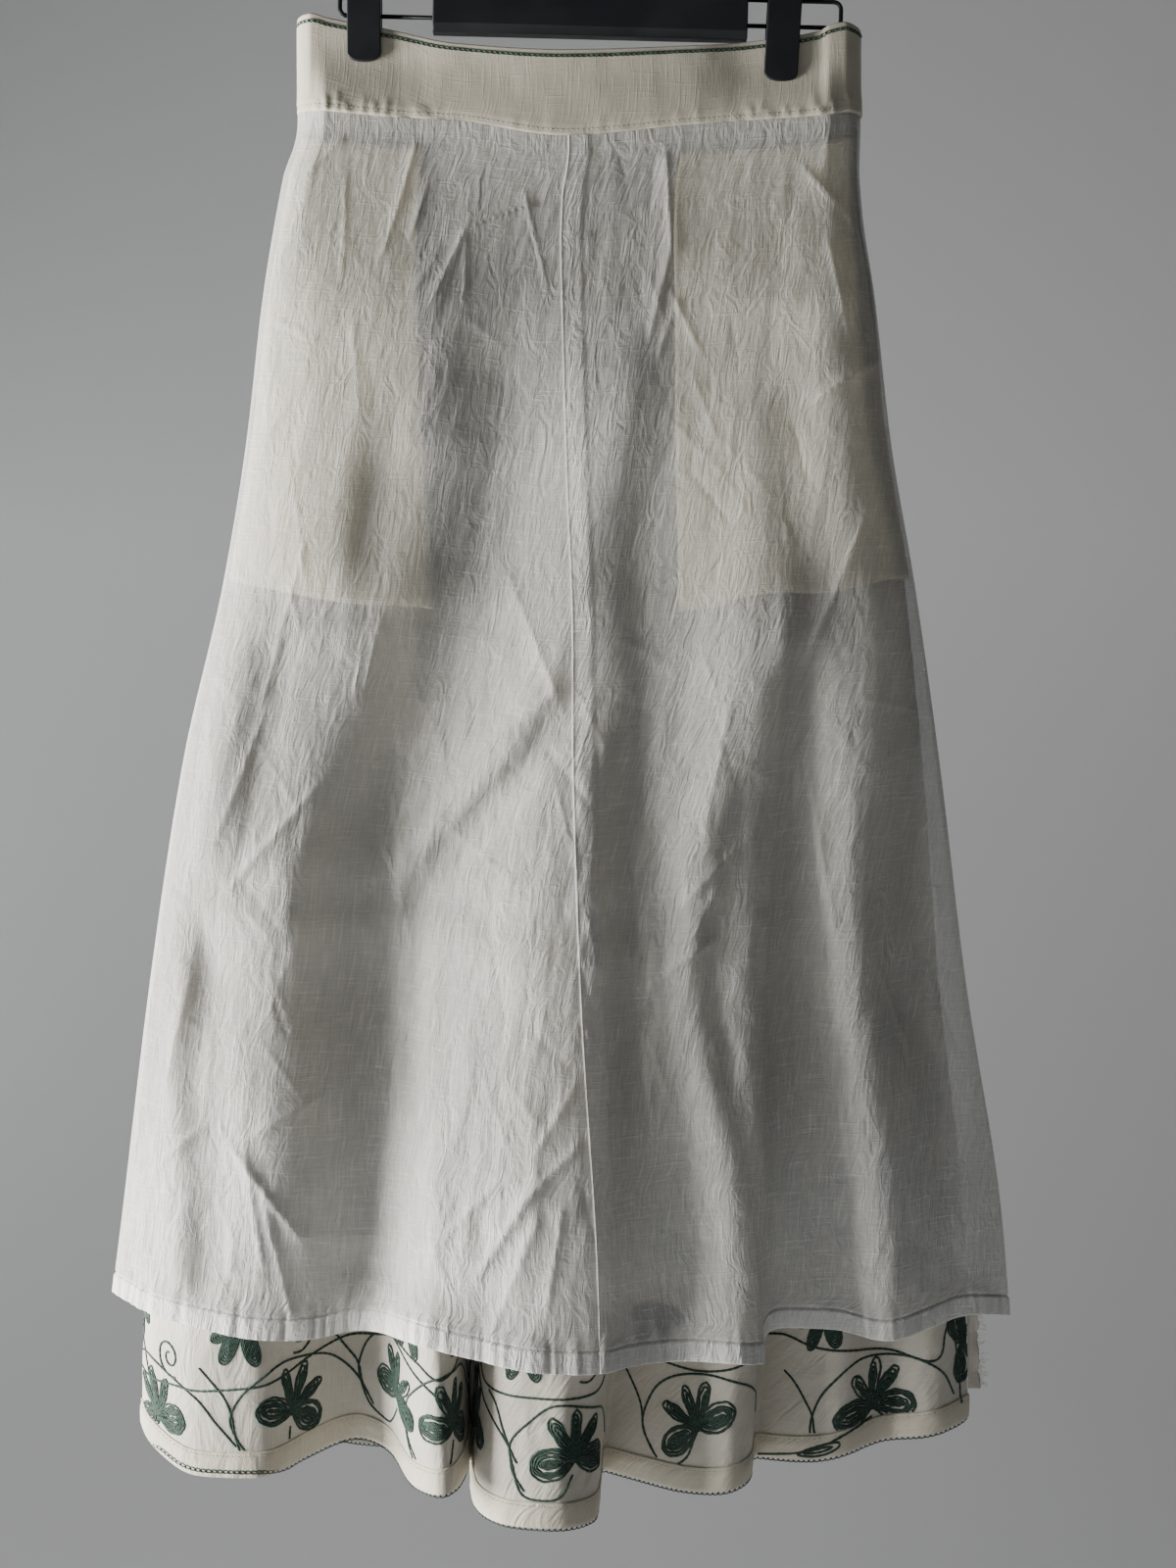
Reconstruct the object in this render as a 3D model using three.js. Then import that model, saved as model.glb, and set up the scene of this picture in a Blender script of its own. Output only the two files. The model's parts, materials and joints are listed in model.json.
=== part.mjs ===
// A lined A-line skirt, turned inside out and hung by its waistband from a hanger with two clips.
// Millimetres, +Z up, +X to the viewer's right, the viewer stands on the -Y side.
// The origin is the inner crown of the hanger's hook, where a rail carries it.
//
// Every cloth layer is a closed loop of cloth that hangs from the waist seam. Its shape comes from three
// tables: WAIST gives the loop at the waistband, BODY how it widens below, and a table of hem stations
// gives the folds, which are flat at the waist and open out towards the hem.

import * as THREE from 'three';

// ---------- driving dimensions ----------

const SEAM_GAP = 0.3;
const BAND_WALL = 3.0;

// Each layer's wall, its length from waist seam to hem, and the height and extra thickness of its hem.
const LINING = { wall: 1.0, length: 765, hem: 12.5, lift: 0.7 };
const SKIRT = { wall: 1.5, length: 845, hem: 15, lift: 0.9 };

// Where on the loop the lining's front is seamed down its middle.
const CENTRE_SEAM = 0.545;

// The lining hangs just inside the waistband's face, the skirt inside the lining.
const LINING_INSET = 0.5;

// The waistband by its place along X: its top and bottom edges, the outer faces of its front and back
// where the clips pinch it, and how much further it opens at the bottom seam.
const WAIST = [
  { x: -191, top: -116.0, seam: -176.0, front: 11.0, back: 11.0, open: 0 },
  { x: -190, top: -115.6, seam: -176.2, front: 6.0, back: 16.0, open: 0 },
  { x: -186, top: -115.0, seam: -177.0, front: 0.2, back: 20.0, open: 1 },
  { x: -180, top: -115.0, seam: -178.0, front: -3.2, back: 16.0, open: 3 },
  { x: -170, top: -117.8, seam: -179.0, front: -3.4, back: 3.4, open: 7 },
  { x: -128, top: -126.0, seam: -183.0, front: -3.4, back: 3.4, open: 7 },
  { x: -90, top: -135.0, seam: -185.0, front: -7.0, back: 7.0, open: 3.5 },
  { x: -20, top: -140.0, seam: -195.0, front: -10.0, back: 9.5, open: 2 },
  { x: 60, top: -137.0, seam: -188.0, front: -8.0, back: 8.0, open: 3 },
  { x: 100, top: -133.0, seam: -185.0, front: -3.4, back: 3.4, open: 7 },
  { x: 142, top: -126.5, seam: -182.0, front: -3.4, back: 3.3, open: 7 },
  { x: 149, top: -123.0, seam: -181.0, front: -5.2, back: 9.0, open: 5 },
  { x: 159, top: -121.0, seam: -179.0, front: -4.9, back: 17.5, open: 2 },
  { x: 166, top: -121.5, seam: -178.0, front: 0.5, back: 20.5, open: 1 },
  { x: 170, top: -122.4, seam: -177.6, front: 7.0, back: 16.5, open: 0 },
  { x: 171, top: -123.0, seam: -177.5, front: 12.0, back: 12.0, open: 0 },
];

// The waistband starts to open towards its seam this share of its height below its top edge.
const BAND_OPENS = 0.62;
const BAND_LEVELS = [0, 0.3, BAND_OPENS, 0.82, 1];

// The plain body of the skirt by its drop below the waist seam: its left and right edges and how far
// the middle of its front and back stand off.
const BODY = [
  { drop: 0, left: -191, right: 171, front: 9, back: 10 },
  { drop: 30, left: -198, right: 170, front: 15.5, back: 17.5 },
  { drop: 60, left: -203.5, right: 171.5, front: 20, back: 22 },
  { drop: 115, left: -211.5, right: 178.5, front: 24, back: 27 },
  { drop: 210, left: -222, right: 189, front: 27, back: 32 },
  { drop: 300, left: -236.5, right: 204, front: 30, back: 35 },
  { drop: 415, left: -262, right: 220, front: 34, back: 39 },
  { drop: 550, left: -282, right: 236, front: 40, back: 45 },
  { drop: 700, left: -299.5, right: 259, front: 48, back: 52 },
  { drop: 770, left: -307.5, right: 264.5, front: 52, back: 56 },
  { drop: 870, left: -314, right: 271, front: 56, back: 61 },
];

// The drops within which the cloth takes the body's width and the shape of its section.
const SETTLE = { width: 40, section: 150 };

// How far inside the lining's face the skirt's plain body lies.
const SKIRT_INSET = [
  { drop: 0, inset: 2.1 },
  { drop: 12, inset: 6 },
  { drop: 60, inset: 8 },
  { drop: 210, inset: 10.5 },
  { drop: 415, inset: 12 },
  { drop: 700, inset: 13 },
  { drop: 870, inset: 14 },
];

const SKIRT_SIDE = { inset: 2.1, share: 0.07 };

// Hem stations from the left side seam to the right one. `from` is the share of the length, counted
// from the waist, where the fold at that station starts to open.
const LINING_FRONT = [
  { x: -307, y: 0, z: -928, from: 0.1 },
  { x: -282, y: -22, z: -936, from: 0.1 },
  { x: -248, y: -38, z: -942, from: 0.2 },
  { x: -209, y: -46, z: -948, from: 0.2 },
  { x: -180, y: -43, z: -949, from: 0.2 },
  { x: -145, y: -36, z: -944, from: 0.3 },
  { x: -112, y: -50, z: -947, from: 0.3 },
  { x: -76, y: -68, z: -954, from: 0.3 },
  { x: -34, y: -77, z: -961, from: 0.3 },
  { x: 0, y: -74, z: -962.5, from: 0.3 },
  { x: 26, y: -60, z: -960, from: 0.3 },
  { x: 56, y: -54, z: -959, from: 0.4 },
  { x: 86, y: -58, z: -960, from: 0.5 },
  { x: 105.7, y: -48, z: -962, from: 0.7 },
  { x: 104.6, y: -26, z: -954, from: 0.78 },
  { x: 112, y: -17, z: -947, from: 0.7 },
  { x: 150, y: -22, z: -947, from: 0.4 },
  { x: 182, y: -30, z: -953, from: 0.3 },
  { x: 206, y: -22, z: -948, from: 0.3 },
  { x: 236, y: -12, z: -940, from: 0.2 },
  { x: 264, y: 0, z: -943, from: 0.1 },
];

const LINING_BACK = [
  { x: -307, y: 0, z: -928, from: 0.1 },
  { x: -280, y: 34, z: -938, from: 0.2 },
  { x: -235, y: 62, z: -948, from: 0.3 },
  { x: -185, y: 52, z: -945, from: 0.3 },
  { x: -130, y: 76, z: -955, from: 0.3 },
  { x: -72, y: 62, z: -952, from: 0.3 },
  { x: -20, y: 82, z: -960, from: 0.3 },
  { x: 40, y: 62, z: -954, from: 0.3 },
  { x: 100, y: 76, z: -957, from: 0.3 },
  { x: 160, y: 54, z: -950, from: 0.3 },
  { x: 205, y: 56, z: -948, from: 0.3 },
  { x: 244, y: 30, z: -944, from: 0.2 },
  { x: 264, y: 0, z: -943, from: 0.1 },
];

const SKIRT_FRONT = [
  { x: -288.5, y: 0, z: -1011, from: 0.15 },
  { x: -285, y: -9, z: -1016, from: 0.15 },
  { x: -273, y: -20, z: -1025, from: 0.15 },
  { x: -248, y: -35, z: -1035, from: 0.2 },
  { x: -209, y: -40, z: -1035, from: 0.2 },
  { x: -181, y: -14, z: -1028, from: 0.25 },
  { x: -152, y: 8, z: -1022, from: 0.25 },
  { x: -129, y: -12, z: -1025, from: 0.25 },
  { x: -111, y: -46, z: -1039, from: 0.3 },
  { x: -92, y: -62, z: -1040, from: 0.3 },
  { x: -81, y: -42, z: -1033, from: 0.4 },
  { x: -79.3, y: 15, z: -1030, from: 0.45 },
  { x: -75.5, y: -36, z: -1052, from: 0.4 },
  { x: -56, y: -58, z: -1058, from: 0.3 },
  { x: -22, y: -64, z: -1059, from: 0.3 },
  { x: 1, y: -44, z: -1058, from: 0.35 },
  { x: 3.6, y: 16, z: -1045, from: 0.4 },
  { x: 27, y: 0, z: -1047, from: 0.35 },
  { x: 57, y: -22, z: -1048, from: 0.35 },
  { x: 84, y: -34, z: -1045, from: 0.35 },
  { x: 98, y: -18, z: -1040, from: 0.35 },
  { x: 101, y: 14, z: -1036, from: 0.35 },
  { x: 120, y: 2, z: -1035, from: 0.3 },
  { x: 151, y: -12, z: -1030, from: 0.3 },
  { x: 183, y: 3, z: -1022, from: 0.25 },
  { x: 214, y: -4, z: -1018, from: 0.2 },
  { x: 239, y: 12, z: -1011, from: 0.15 },
];

const SKIRT_BACK = [
  { x: -288.5, y: 0, z: -1011, from: 0.15 },
  { x: -285, y: 10, z: -1015, from: 0.15 },
  { x: -268, y: 26, z: -1022, from: 0.2 },
  { x: -228, y: 50, z: -1034, from: 0.25 },
  { x: -184, y: 30, z: -1028, from: 0.25 },
  { x: -148, y: 54, z: -1040, from: 0.25 },
  { x: -108, y: 68, z: -1046, from: 0.3 },
  { x: -84, y: 44, z: -1040, from: 0.35 },
  { x: -46, y: 60, z: -1050, from: 0.3 },
  { x: -8, y: 72, z: -1056, from: 0.3 },
  { x: 30, y: 50, z: -1050, from: 0.3 },
  { x: 50, y: 44, z: -1046, from: 0.3 },
  { x: 84, y: 66, z: -1047, from: 0.3 },
  { x: 118, y: 68, z: -1043, from: 0.3 },
  { x: 146, y: 42, z: -1034, from: 0.3 },
  { x: 184, y: 52, z: -1029, from: 0.25 },
  { x: 218, y: 40, z: -1020, from: 0.2 },
  { x: 239, y: 12, z: -1011, from: 0.15 },
];

// Columns next to a side seam, as shares of a half loop.
const SIDE_STEPS = [0, 0.003, 0.008, 0.015, 0.024, 0.036, 0.052, 0.072];

// Rows next to the waist seam, as shares of a layer's length.
const TOP_STEPS = [0, 0.012, 0.04, 0.09, 0.16];

// How far above a hem's edge its rim steps out, as a share of a layer's length.
const HEM_STEP = 1e-3;

const FOLD_POWER = 1.25;

// 2 would make the body's section an ellipse; more makes its ends rounder and its middle flatter.
const BODY_SQUARENESS = 8;

// Pocket bags: from the side seam inwards, between lining and skirt. Shares are of the loop's half,
// tops and feet are drops below the waist seam.
const POCKET = { wall: 1.4, ease: 1.6, columns: 11, rows: 9 };
const POCKETS = [
  { name: 'left', sideTop: 0.07, sideFoot: 0.06, innerTop: 0.235, innerFoot: 0.305, top: 16, foot: 306 },
  { name: 'right', sideTop: 0.93, sideFoot: 0.955, innerTop: 0.68, innerFoot: 0.655, top: 16, foot: 300 },
];

// The outer skirt's right side seam allowance, which stands out from the seam near the hem.
const ALLOWANCE = { width: 7.5, wall: 1.2, clear: 0.6, top: 0.9, foot: 0.978, rows: 8 };

const HANGER = {
  tilt: THREE.MathUtils.degToRad(1.45),
  bar: { length: 200, height: 48, thick: 14, bottom: -130, edge: 6, footIn: 2.5, headIn: 3.5, arch: 9 },
  hook: { wire: 3.6, bend: 22, neck: 6, from: -62, to: 178 },
  loop: { wire: 2.8, reach: 159.5, top: -103.4, bottom: -119.9, corner: 5 },
};
const CLIP = {
  jaw: { width: 21.4, thick: 3.2, top: -92, face: 3.7, sag: 5, roundness: 0.85, backShorter: 14 },
  pivot: { width: 14, top: -105.3, foot: -118 },
};
const CLIPS = [
  { name: 'left', x: -143.9, foot: -150.5, lean: -1.45 },
  { name: 'right', x: 123.4, foot: -156.5, lean: 2.2 },
];

const CLOTH = {
  band: { color: 0xcfc6b2, roughness: 0.92 },
  lining: { color: 0xdedfdc, roughness: 0.85 },
  skirt: { color: 0xd9d3c7, roughness: 0.9 },
  pocket: { color: 0xd8cfbd, roughness: 0.9 },
};
const BLACK_PLASTIC = { color: 0x0b1016, roughness: 0.55 };
const BLACK_STEEL = { color: 0x101214, roughness: 0.4, metalness: 0.6 };

// ---------- curves through the tables ----------

// Slopes of a monotone cubic: none at a local high or low, so the curve never passes its rows.
function slopesOf(keys, values) {
  const rise = values.slice(1).map((value, i) => (value - values[i]) / (keys[i + 1] - keys[i]));
  return values.map((_, i) => {
    if (i === 0) return rise[0];
    if (i === values.length - 1) return rise.at(-1);
    const [before, after] = [rise[i - 1], rise[i]];
    return before * after > 0 ? (2 * before * after) / (before + after) : 0;
  });
}

function curveThrough(keys, values) {
  const slopes = slopesOf(keys, values);
  return (key) => {
    let i = 0;
    while (i < keys.length - 2 && key > keys[i + 1]) i += 1;
    const span = keys[i + 1] - keys[i];
    const w = THREE.MathUtils.clamp((key - keys[i]) / span, 0, 1);
    const w2 = w * w;
    const w3 = w2 * w;
    return (2 * w3 - 3 * w2 + 1) * values[i] + (w3 - 2 * w2 + w) * span * slopes[i]
      + (3 * w2 - 2 * w3) * values[i + 1] + (w3 - w2) * span * slopes[i + 1];
  };
}

// One curve for each named column of a table, along its key column.
function curvesOf(rows, keyName) {
  const keys = rows.map((row) => row[keyName]);
  const columns = Object.keys(rows[0]).filter((name) => name !== keyName);
  return Object.fromEntries(columns.map((name) => [name, curveThrough(keys, rows.map((row) => row[name]))]));
}

// A half hem as curves along the share of its own length.
function hemCurves(rows) {
  const lengths = [0];
  for (let i = 1; i < rows.length; i += 1) {
    const [a, b] = [rows[i - 1], rows[i]];
    lengths.push(lengths.at(-1) + Math.hypot(b.x - a.x, b.y - a.y));
  }
  const shares = lengths.map((length) => length / lengths.at(-1));
  return curvesOf(rows.map((row, i) => ({ share: shares[i], ...row })), 'share');
}

const { lerp, smoothstep, clamp } = THREE.MathUtils;
const WAIST_LEFT = WAIST[0].x;
const WAIST_RIGHT = WAIST.at(-1).x;
const waist = curvesOf(WAIST, 'x');
const body = curvesOf(BODY, 'drop');
const skirtInset = curvesOf(SKIRT_INSET, 'drop').inset;

// ---------- the loop of cloth ----------

// A place on a loop is t: 0 to 1 along the front from left to right, 1 to 2 back along the rear.
const isFront = (t) => t <= 1;
const shareOf = (t) => (isFront(t) ? t : 2 - t);
const waistX = (share) => lerp(WAIST_LEFT, WAIST_RIGHT, share);

// The waistband's outer face, w running from its top edge (0) to the seam (1).
function bandPoint(t, w) {
  const x = waistX(shareOf(t));
  const opening = waist.open(x) * smoothstep(w, BAND_OPENS, 1);
  const y = isFront(t) ? waist.front(x) - opening : waist.back(x) + opening;
  return new THREE.Vector3(x, y, lerp(waist.top(x), waist.seam(x), w));
}

// The loop closes on itself, so a place past either end is one on the other half.
const wrapped = (t) => (t + 2) % 2;

// A point of a surface, moved level along its outward normal, and along the loop away from a seam.
function movedOut(surface, t, v, distance, away = 0) {
  const step = 1e-3;
  const along = surface(wrapped(t + step), v).sub(surface(wrapped(t - step), v)).setZ(0).normalize();
  const normal = new THREE.Vector3(along.y, -along.x, 0);
  return surface(t, v).addScaledVector(normal, distance).addScaledVector(along, away * SEAM_GAP / 2);
}

// The plain body at a drop below the seam, before any fold, lying `inset` inside the lining's face.
// It leaves the waistband as a curled loop and settles into a flat one with round ends.
function bodyPoint(t, drop, inset) {
  const share = shareOf(t);
  const round = Math.sqrt(1 - Math.abs(2 * share - 1) ** BODY_SQUARENESS);
  const rear = isFront(t) ? -1 : 1;
  const stand = isFront(t) ? body.front(drop) : body.back(drop);
  const seam = bandPoint(t, 1);
  const inward = movedOut(bandPoint, t, 1, -inset).sub(seam);
  const settled = smoothstep(drop, 0, SETTLE.section);
  const bodyX = lerp(body.left(drop), body.right(drop), share);
  const x = lerp(seam.x, bodyX, smoothstep(drop, 0, SETTLE.width));
  const y = lerp(seam.y, rear * stand * round, settled);
  return new THREE.Vector2(
    x + lerp(inward.x, inset * (1 - 2 * share), settled),
    y + lerp(inward.y, -rear * inset * round, settled),
  );
}

// A hanging layer: its point at t and v, v running from the waist seam (0) to the hem (1).
function hangingLayer(front, back, insetAt) {
  const hems = { front: hemCurves(front), back: hemCurves(back) };
  return (t, v) => {
    const hem = isFront(t) ? hems.front : hems.back;
    const share = shareOf(t);
    const seam = waist.seam(waistX(share)) - SEAM_GAP;
    const length = seam - hem.z(share);
    const end = bodyPoint(t, length, insetAt(length, share));
    const open = clamp((v - hem.from(share)) / (1 - hem.from(share)), 0, 1) ** FOLD_POWER;
    const plain = bodyPoint(t, v * length, insetAt(v * length, share));
    return new THREE.Vector3(
      plain.x + open * (hem.x(share) - end.x),
      plain.y + open * (hem.y(share) - end.y),
      seam - v * length,
    );
  };
}

const lining = hangingLayer(LINING_FRONT, LINING_BACK, () => LINING_INSET);

// The skirt lies close to the lining at the side seams, where the loop turns, and further in between.
const skirt = hangingLayer(SKIRT_FRONT, SKIRT_BACK, (drop, share) => {
  const fromSide = clamp(Math.min(share, 1 - share) / SKIRT_SIDE.share, 0, 1);
  return lerp(SKIRT_SIDE.inset, skirtInset(drop), fromSide);
});

// ---------- solids ----------

// The columns of a panel between two places on the loop: close together at a side seam, where the
// loop curls, and even between. Both edges step back from their seams.
function columnsBetween(low, high, count) {
  const atSide = (t) => Number.isInteger(t);
  const fromLow = atSide(low) ? SIDE_STEPS.map((step) => low + step) : [low];
  const fromHigh = atSide(high) ? SIDE_STEPS.map((step) => high - step).reverse() : [high];
  const [start, end] = [fromLow.at(-1), fromHigh[0]];
  const middle = Array.from({ length: count - 1 }, (_, i) => lerp(start, end, (i + 1) / count));
  const places = [...fromLow, ...middle, ...fromHigh];
  return places.map((t, i) => {
    if (i === 0) return { t, away: 1 };
    return { t, away: i === places.length - 1 ? -1 : 0 };
  });
}

// A closed wall between a face of rows by columns of points and its inner twin.
function wallGeometry(outer, inner) {
  const rows = outer.length;
  const columns = outer[0].length;
  const positions = [...outer.flat(), ...inner.flat()].flatMap((point) => point.toArray());
  const at = (row, column, side) => (side * rows + row) * columns + column;
  const indices = [];
  const quad = (a, b, c, d) => indices.push(a, b, c, a, c, d);
  for (let i = 0; i < rows - 1; i += 1) {
    for (let j = 0; j < columns - 1; j += 1) {
      quad(at(i, j, 0), at(i + 1, j, 0), at(i + 1, j + 1, 0), at(i, j + 1, 0));
      quad(at(i, j, 1), at(i, j + 1, 1), at(i + 1, j + 1, 1), at(i + 1, j, 1));
    }
  }
  for (let j = 0; j < columns - 1; j += 1) {
    quad(at(0, j, 0), at(0, j + 1, 0), at(0, j + 1, 1), at(0, j, 1));
    quad(at(rows - 1, j, 0), at(rows - 1, j, 1), at(rows - 1, j + 1, 1), at(rows - 1, j + 1, 0));
  }
  for (let i = 0; i < rows - 1; i += 1) {
    quad(at(i, 0, 0), at(i, 0, 1), at(i + 1, 0, 1), at(i + 1, 0, 0));
    quad(at(i, columns - 1, 0), at(i + 1, columns - 1, 0), at(i + 1, columns - 1, 1), at(i, columns - 1, 1));
  }
  const geometry = new THREE.BufferGeometry();
  geometry.setAttribute('position', new THREE.Float32BufferAttribute(positions, 3));
  geometry.setIndex(indices);
  return geometry;
}

function named(name, geometry, finish) {
  const mesh = new THREE.Mesh(geometry, new THREE.MeshStandardMaterial(finish));
  mesh.name = name;
  return mesh;
}

// A panel of a layer, from low to high along the loop, with its hem turned up as a thicker rim.
function panel({ name, surface, low, high, columns, rows, wall, length, hem, lift, finish }) {
  const places = columnsBetween(low, high, columns);
  const hemTop = 1 - hem / length;
  const lower = Array.from({ length: rows }, (_, i) => lerp(TOP_STEPS.at(-1), hemTop, (i + 1) / rows));
  const levels = [...TOP_STEPS, ...lower].map((v) => ({ v, lift: 0 }));
  levels.push({ v: hemTop + HEM_STEP, lift }, { v: 1, lift });
  const face = (distanceOf) => levels.map((level) => (
    places.map(({ t, away }) => movedOut(surface, t, level.v, distanceOf(level), away))));
  const outer = face((level) => level.lift);
  const inner = face(() => -wall);
  return named(name, wallGeometry(outer, inner), finish);
}

function waistbandHalf(name, low, high, columns) {
  const places = columnsBetween(low, high, columns);
  const face = (distance) => BAND_LEVELS.map((w) => (
    places.map(({ t, away }) => movedOut(bandPoint, t, w, distance, away))));
  const outer = face(0);
  const inner = face(-BAND_WALL);
  return named(name, wallGeometry(outer, inner), CLOTH.band);
}

// A pocket bag lies on the lining's inner face, so it is made from the lining's points, moved in.
function pocketBag({ name, sideTop, sideFoot, innerTop, innerFoot, top, foot }) {
  const { wall, ease, columns, rows } = POCKET;
  const depth = LINING.wall + ease;
  const grid = (inset) => Array.from({ length: rows + 1 }, (_, i) => {
    const down = i / rows;
    const v = lerp(top, foot, down) / LINING.length;
    const [a, b] = [lerp(sideTop, sideFoot, down), lerp(innerTop, innerFoot, down)];
    const [low, high] = [Math.min(a, b), Math.max(a, b)];
    const places = Array.from({ length: columns + 1 }, (__, j) => lerp(low, high, j / columns));
    return places.map((t) => movedOut(lining, t, v, -inset));
  });
  return named(`pocket_bag_${name}`, wallGeometry(grid(depth), grid(depth + wall)), CLOTH.pocket);
}

// The seam allowance stands straight out of the right side seam, a thin strip along it.
function seamAllowance() {
  const { width, wall, clear, top, foot, rows } = ALLOWANCE;
  const strip = (side) => Array.from({ length: rows + 1 }, (_, i) => {
    const root = skirt(1, lerp(top, foot, i / rows));
    const y = root.y + side * wall / 2;
    return [clear, clear + width].map((out) => new THREE.Vector3(root.x + out, y, root.z));
  });
  return named('seam_allowance_right', wallGeometry(strip(-1), strip(1)), CLOTH.skirt);
}

function sweep(path, diameter, steps, sides = 8) {
  const section = new THREE.Shape();
  section.absarc(0, 0, diameter / 2, 0, 2 * Math.PI);
  return new THREE.ExtrudeGeometry(section, { extrudePath: path, steps, curveSegments: sides / 2 });
}

// The bar: a long block with a soft arched top and a narrowed lower edge.
function bar() {
  const { length, height, thick, bottom, edge, footIn, headIn, arch } = HANGER.bar;
  const half = length / 2;
  const [face, head] = [thick / 2, bottom + height];
  const section = new THREE.Shape([
    new THREE.Vector2(footIn - face, bottom),
    new THREE.Vector2(face - footIn, bottom),
    new THREE.Vector2(face, bottom + edge),
    new THREE.Vector2(face, head - edge),
    new THREE.Vector2(face - headIn, head),
    new THREE.Vector2(headIn - face, head),
    new THREE.Vector2(-face, head - edge),
    new THREE.Vector2(-face, bottom + edge),
  ]);
  const geometry = new THREE.ExtrudeGeometry(section, { depth: length, steps: 10, bevelEnabled: false });
  geometry.rotateX(Math.PI / 2);
  geometry.rotateZ(Math.PI / 2);
  const place = geometry.attributes.position;
  for (let i = 0; i < place.count; i += 1) {
    const along = (place.getX(i) - half) / half;
    place.setX(i, place.getX(i) - half);
    const up = (place.getZ(i) - bottom) / height;
    place.setZ(i, place.getZ(i) - arch * clamp(up, 0, 1) * Math.abs(along) ** 3);
  }
  return named('hanger_bar', geometry, BLACK_PLASTIC);
}

// The hook: a wire that leaves the bar's top, rises and bends over the rail. Its inner crown is the origin.
function hook() {
  const { wire, bend, neck, from, to } = HANGER.hook;
  const [stations, steps] = [15, 26];
  const { bottom, height } = HANGER.bar;
  const radius = bend + wire / 2;
  const centre = new THREE.Vector3(0, 0, -bend);
  const arc = Array.from({ length: stations }, (_, i) => {
    const a = THREE.MathUtils.degToRad(lerp(from, to, i / (stations - 1)));
    return new THREE.Vector3(centre.x + radius * Math.cos(a), 0, centre.z + radius * Math.sin(a));
  });
  const foot = bottom + height + SEAM_GAP;
  const points = [new THREE.Vector3(0, 0, foot), new THREE.Vector3(0, 0, foot + neck), ...arc];
  const path = new THREE.CatmullRomCurve3(points, false, 'centripetal');
  return named('hanger_hook', sweep(path, wire, steps), BLACK_STEEL);
}

// One side of the wire loop: out of the bar's end along the bottom, round two corners and back in.
function wireLoop(side) {
  const { wire, reach, top, bottom, corner } = HANGER.loop;
  const start = HANGER.bar.length / 2 + SEAM_GAP;
  const steps = 22;
  const at = (x, z) => new THREE.Vector3(side * x, 0, z);
  const path = new THREE.CurvePath();
  path.add(new THREE.LineCurve3(at(start, bottom), at(reach - corner, bottom)));
  const turn = (a, b, c) => path.add(new THREE.QuadraticBezierCurve3(a, b, c));
  turn(at(reach - corner, bottom), at(reach, bottom), at(reach, bottom + corner));
  path.add(new THREE.LineCurve3(at(reach, bottom + corner), at(reach, top - corner)));
  turn(at(reach, top - corner), at(reach, top), at(reach - corner, top));
  path.add(new THREE.LineCurve3(at(reach - corner, top), at(start, top)));
  const points = path.getSpacedPoints(steps);
  return sweep(new THREE.CatmullRomCurve3(points, false, 'centripetal'), wire, steps);
}

// A clip's jaw: a flat bar with a round end, standing on one side of the waistband.
function jaw(side, foot) {
  const { width, thick, top, face, sag, roundness } = CLIP.jaw;
  const half = width / 2;
  const shape = new THREE.Shape();
  shape.moveTo(-half, top);
  shape.lineTo(-half, foot + sag);
  shape.quadraticCurveTo(-half * roundness, foot, 0, foot);
  shape.quadraticCurveTo(half * roundness, foot, half, foot + sag);
  shape.lineTo(half, top);
  const geometry = new THREE.ExtrudeGeometry(shape, { depth: thick, bevelEnabled: false, curveSegments: 5 });
  geometry.rotateX(Math.PI / 2);
  geometry.translate(0, side < 0 ? -face : face + thick, 0);
  return geometry;
}

function clip({ name, x, foot, lean }) {
  const { face, backShorter } = CLIP.jaw;
  const { width, top, foot: low } = CLIP.pivot;
  const group = new THREE.Group();
  group.position.set(x, 0, top);
  group.rotation.y = THREE.MathUtils.degToRad(lean);
  const place = new THREE.Group();
  place.position.z = -top;
  const pivot = new THREE.BoxGeometry(width, 2 * (face - SEAM_GAP), top - low);
  pivot.translate(0, 0, (top + low) / 2);
  place.add(
    named(`clip_${name}_front`, jaw(-1, foot), BLACK_PLASTIC),
    named(`clip_${name}_back`, jaw(1, foot + backShorter), BLACK_PLASTIC),
    named(`clip_${name}_pivot`, pivot, BLACK_PLASTIC),
  );
  group.add(place);
  return group;
}

function hanger() {
  const group = new THREE.Group();
  group.rotation.y = HANGER.tilt;
  group.add(
    bar(),
    hook(),
    named('wire_left', wireLoop(-1), BLACK_STEEL),
    named('wire_right', wireLoop(1), BLACK_STEEL),
    ...CLIPS.map(clip),
  );
  return group;
}

function garment() {
  const group = new THREE.Group();
  const liningPanel = { ...LINING, surface: lining, finish: CLOTH.lining };
  const skirtPanel = { ...SKIRT, surface: skirt, finish: CLOTH.skirt };
  group.add(
    waistbandHalf('waistband_front', 0, 1, 20),
    waistbandHalf('waistband_back', 1, 2, 16),
    panel({ ...liningPanel, name: 'lining_front_left', low: 0, high: CENTRE_SEAM, columns: 11, rows: 7 }),
    panel({ ...liningPanel, name: 'lining_front_right', low: CENTRE_SEAM, high: 1, columns: 13, rows: 7 }),
    panel({ ...liningPanel, name: 'lining_back', low: 1, high: 2, columns: 18, rows: 6 }),
    panel({ ...skirtPanel, name: 'skirt_front', low: 0, high: 1, columns: 48, rows: 7 }),
    panel({ ...skirtPanel, name: 'skirt_back', low: 1, high: 2, columns: 28, rows: 6 }),
    ...POCKETS.map(pocketBag),
    seamAllowance(),
  );
  return group;
}

const model = new THREE.Group();
model.add(garment(), hanger());
export default model;
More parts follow.
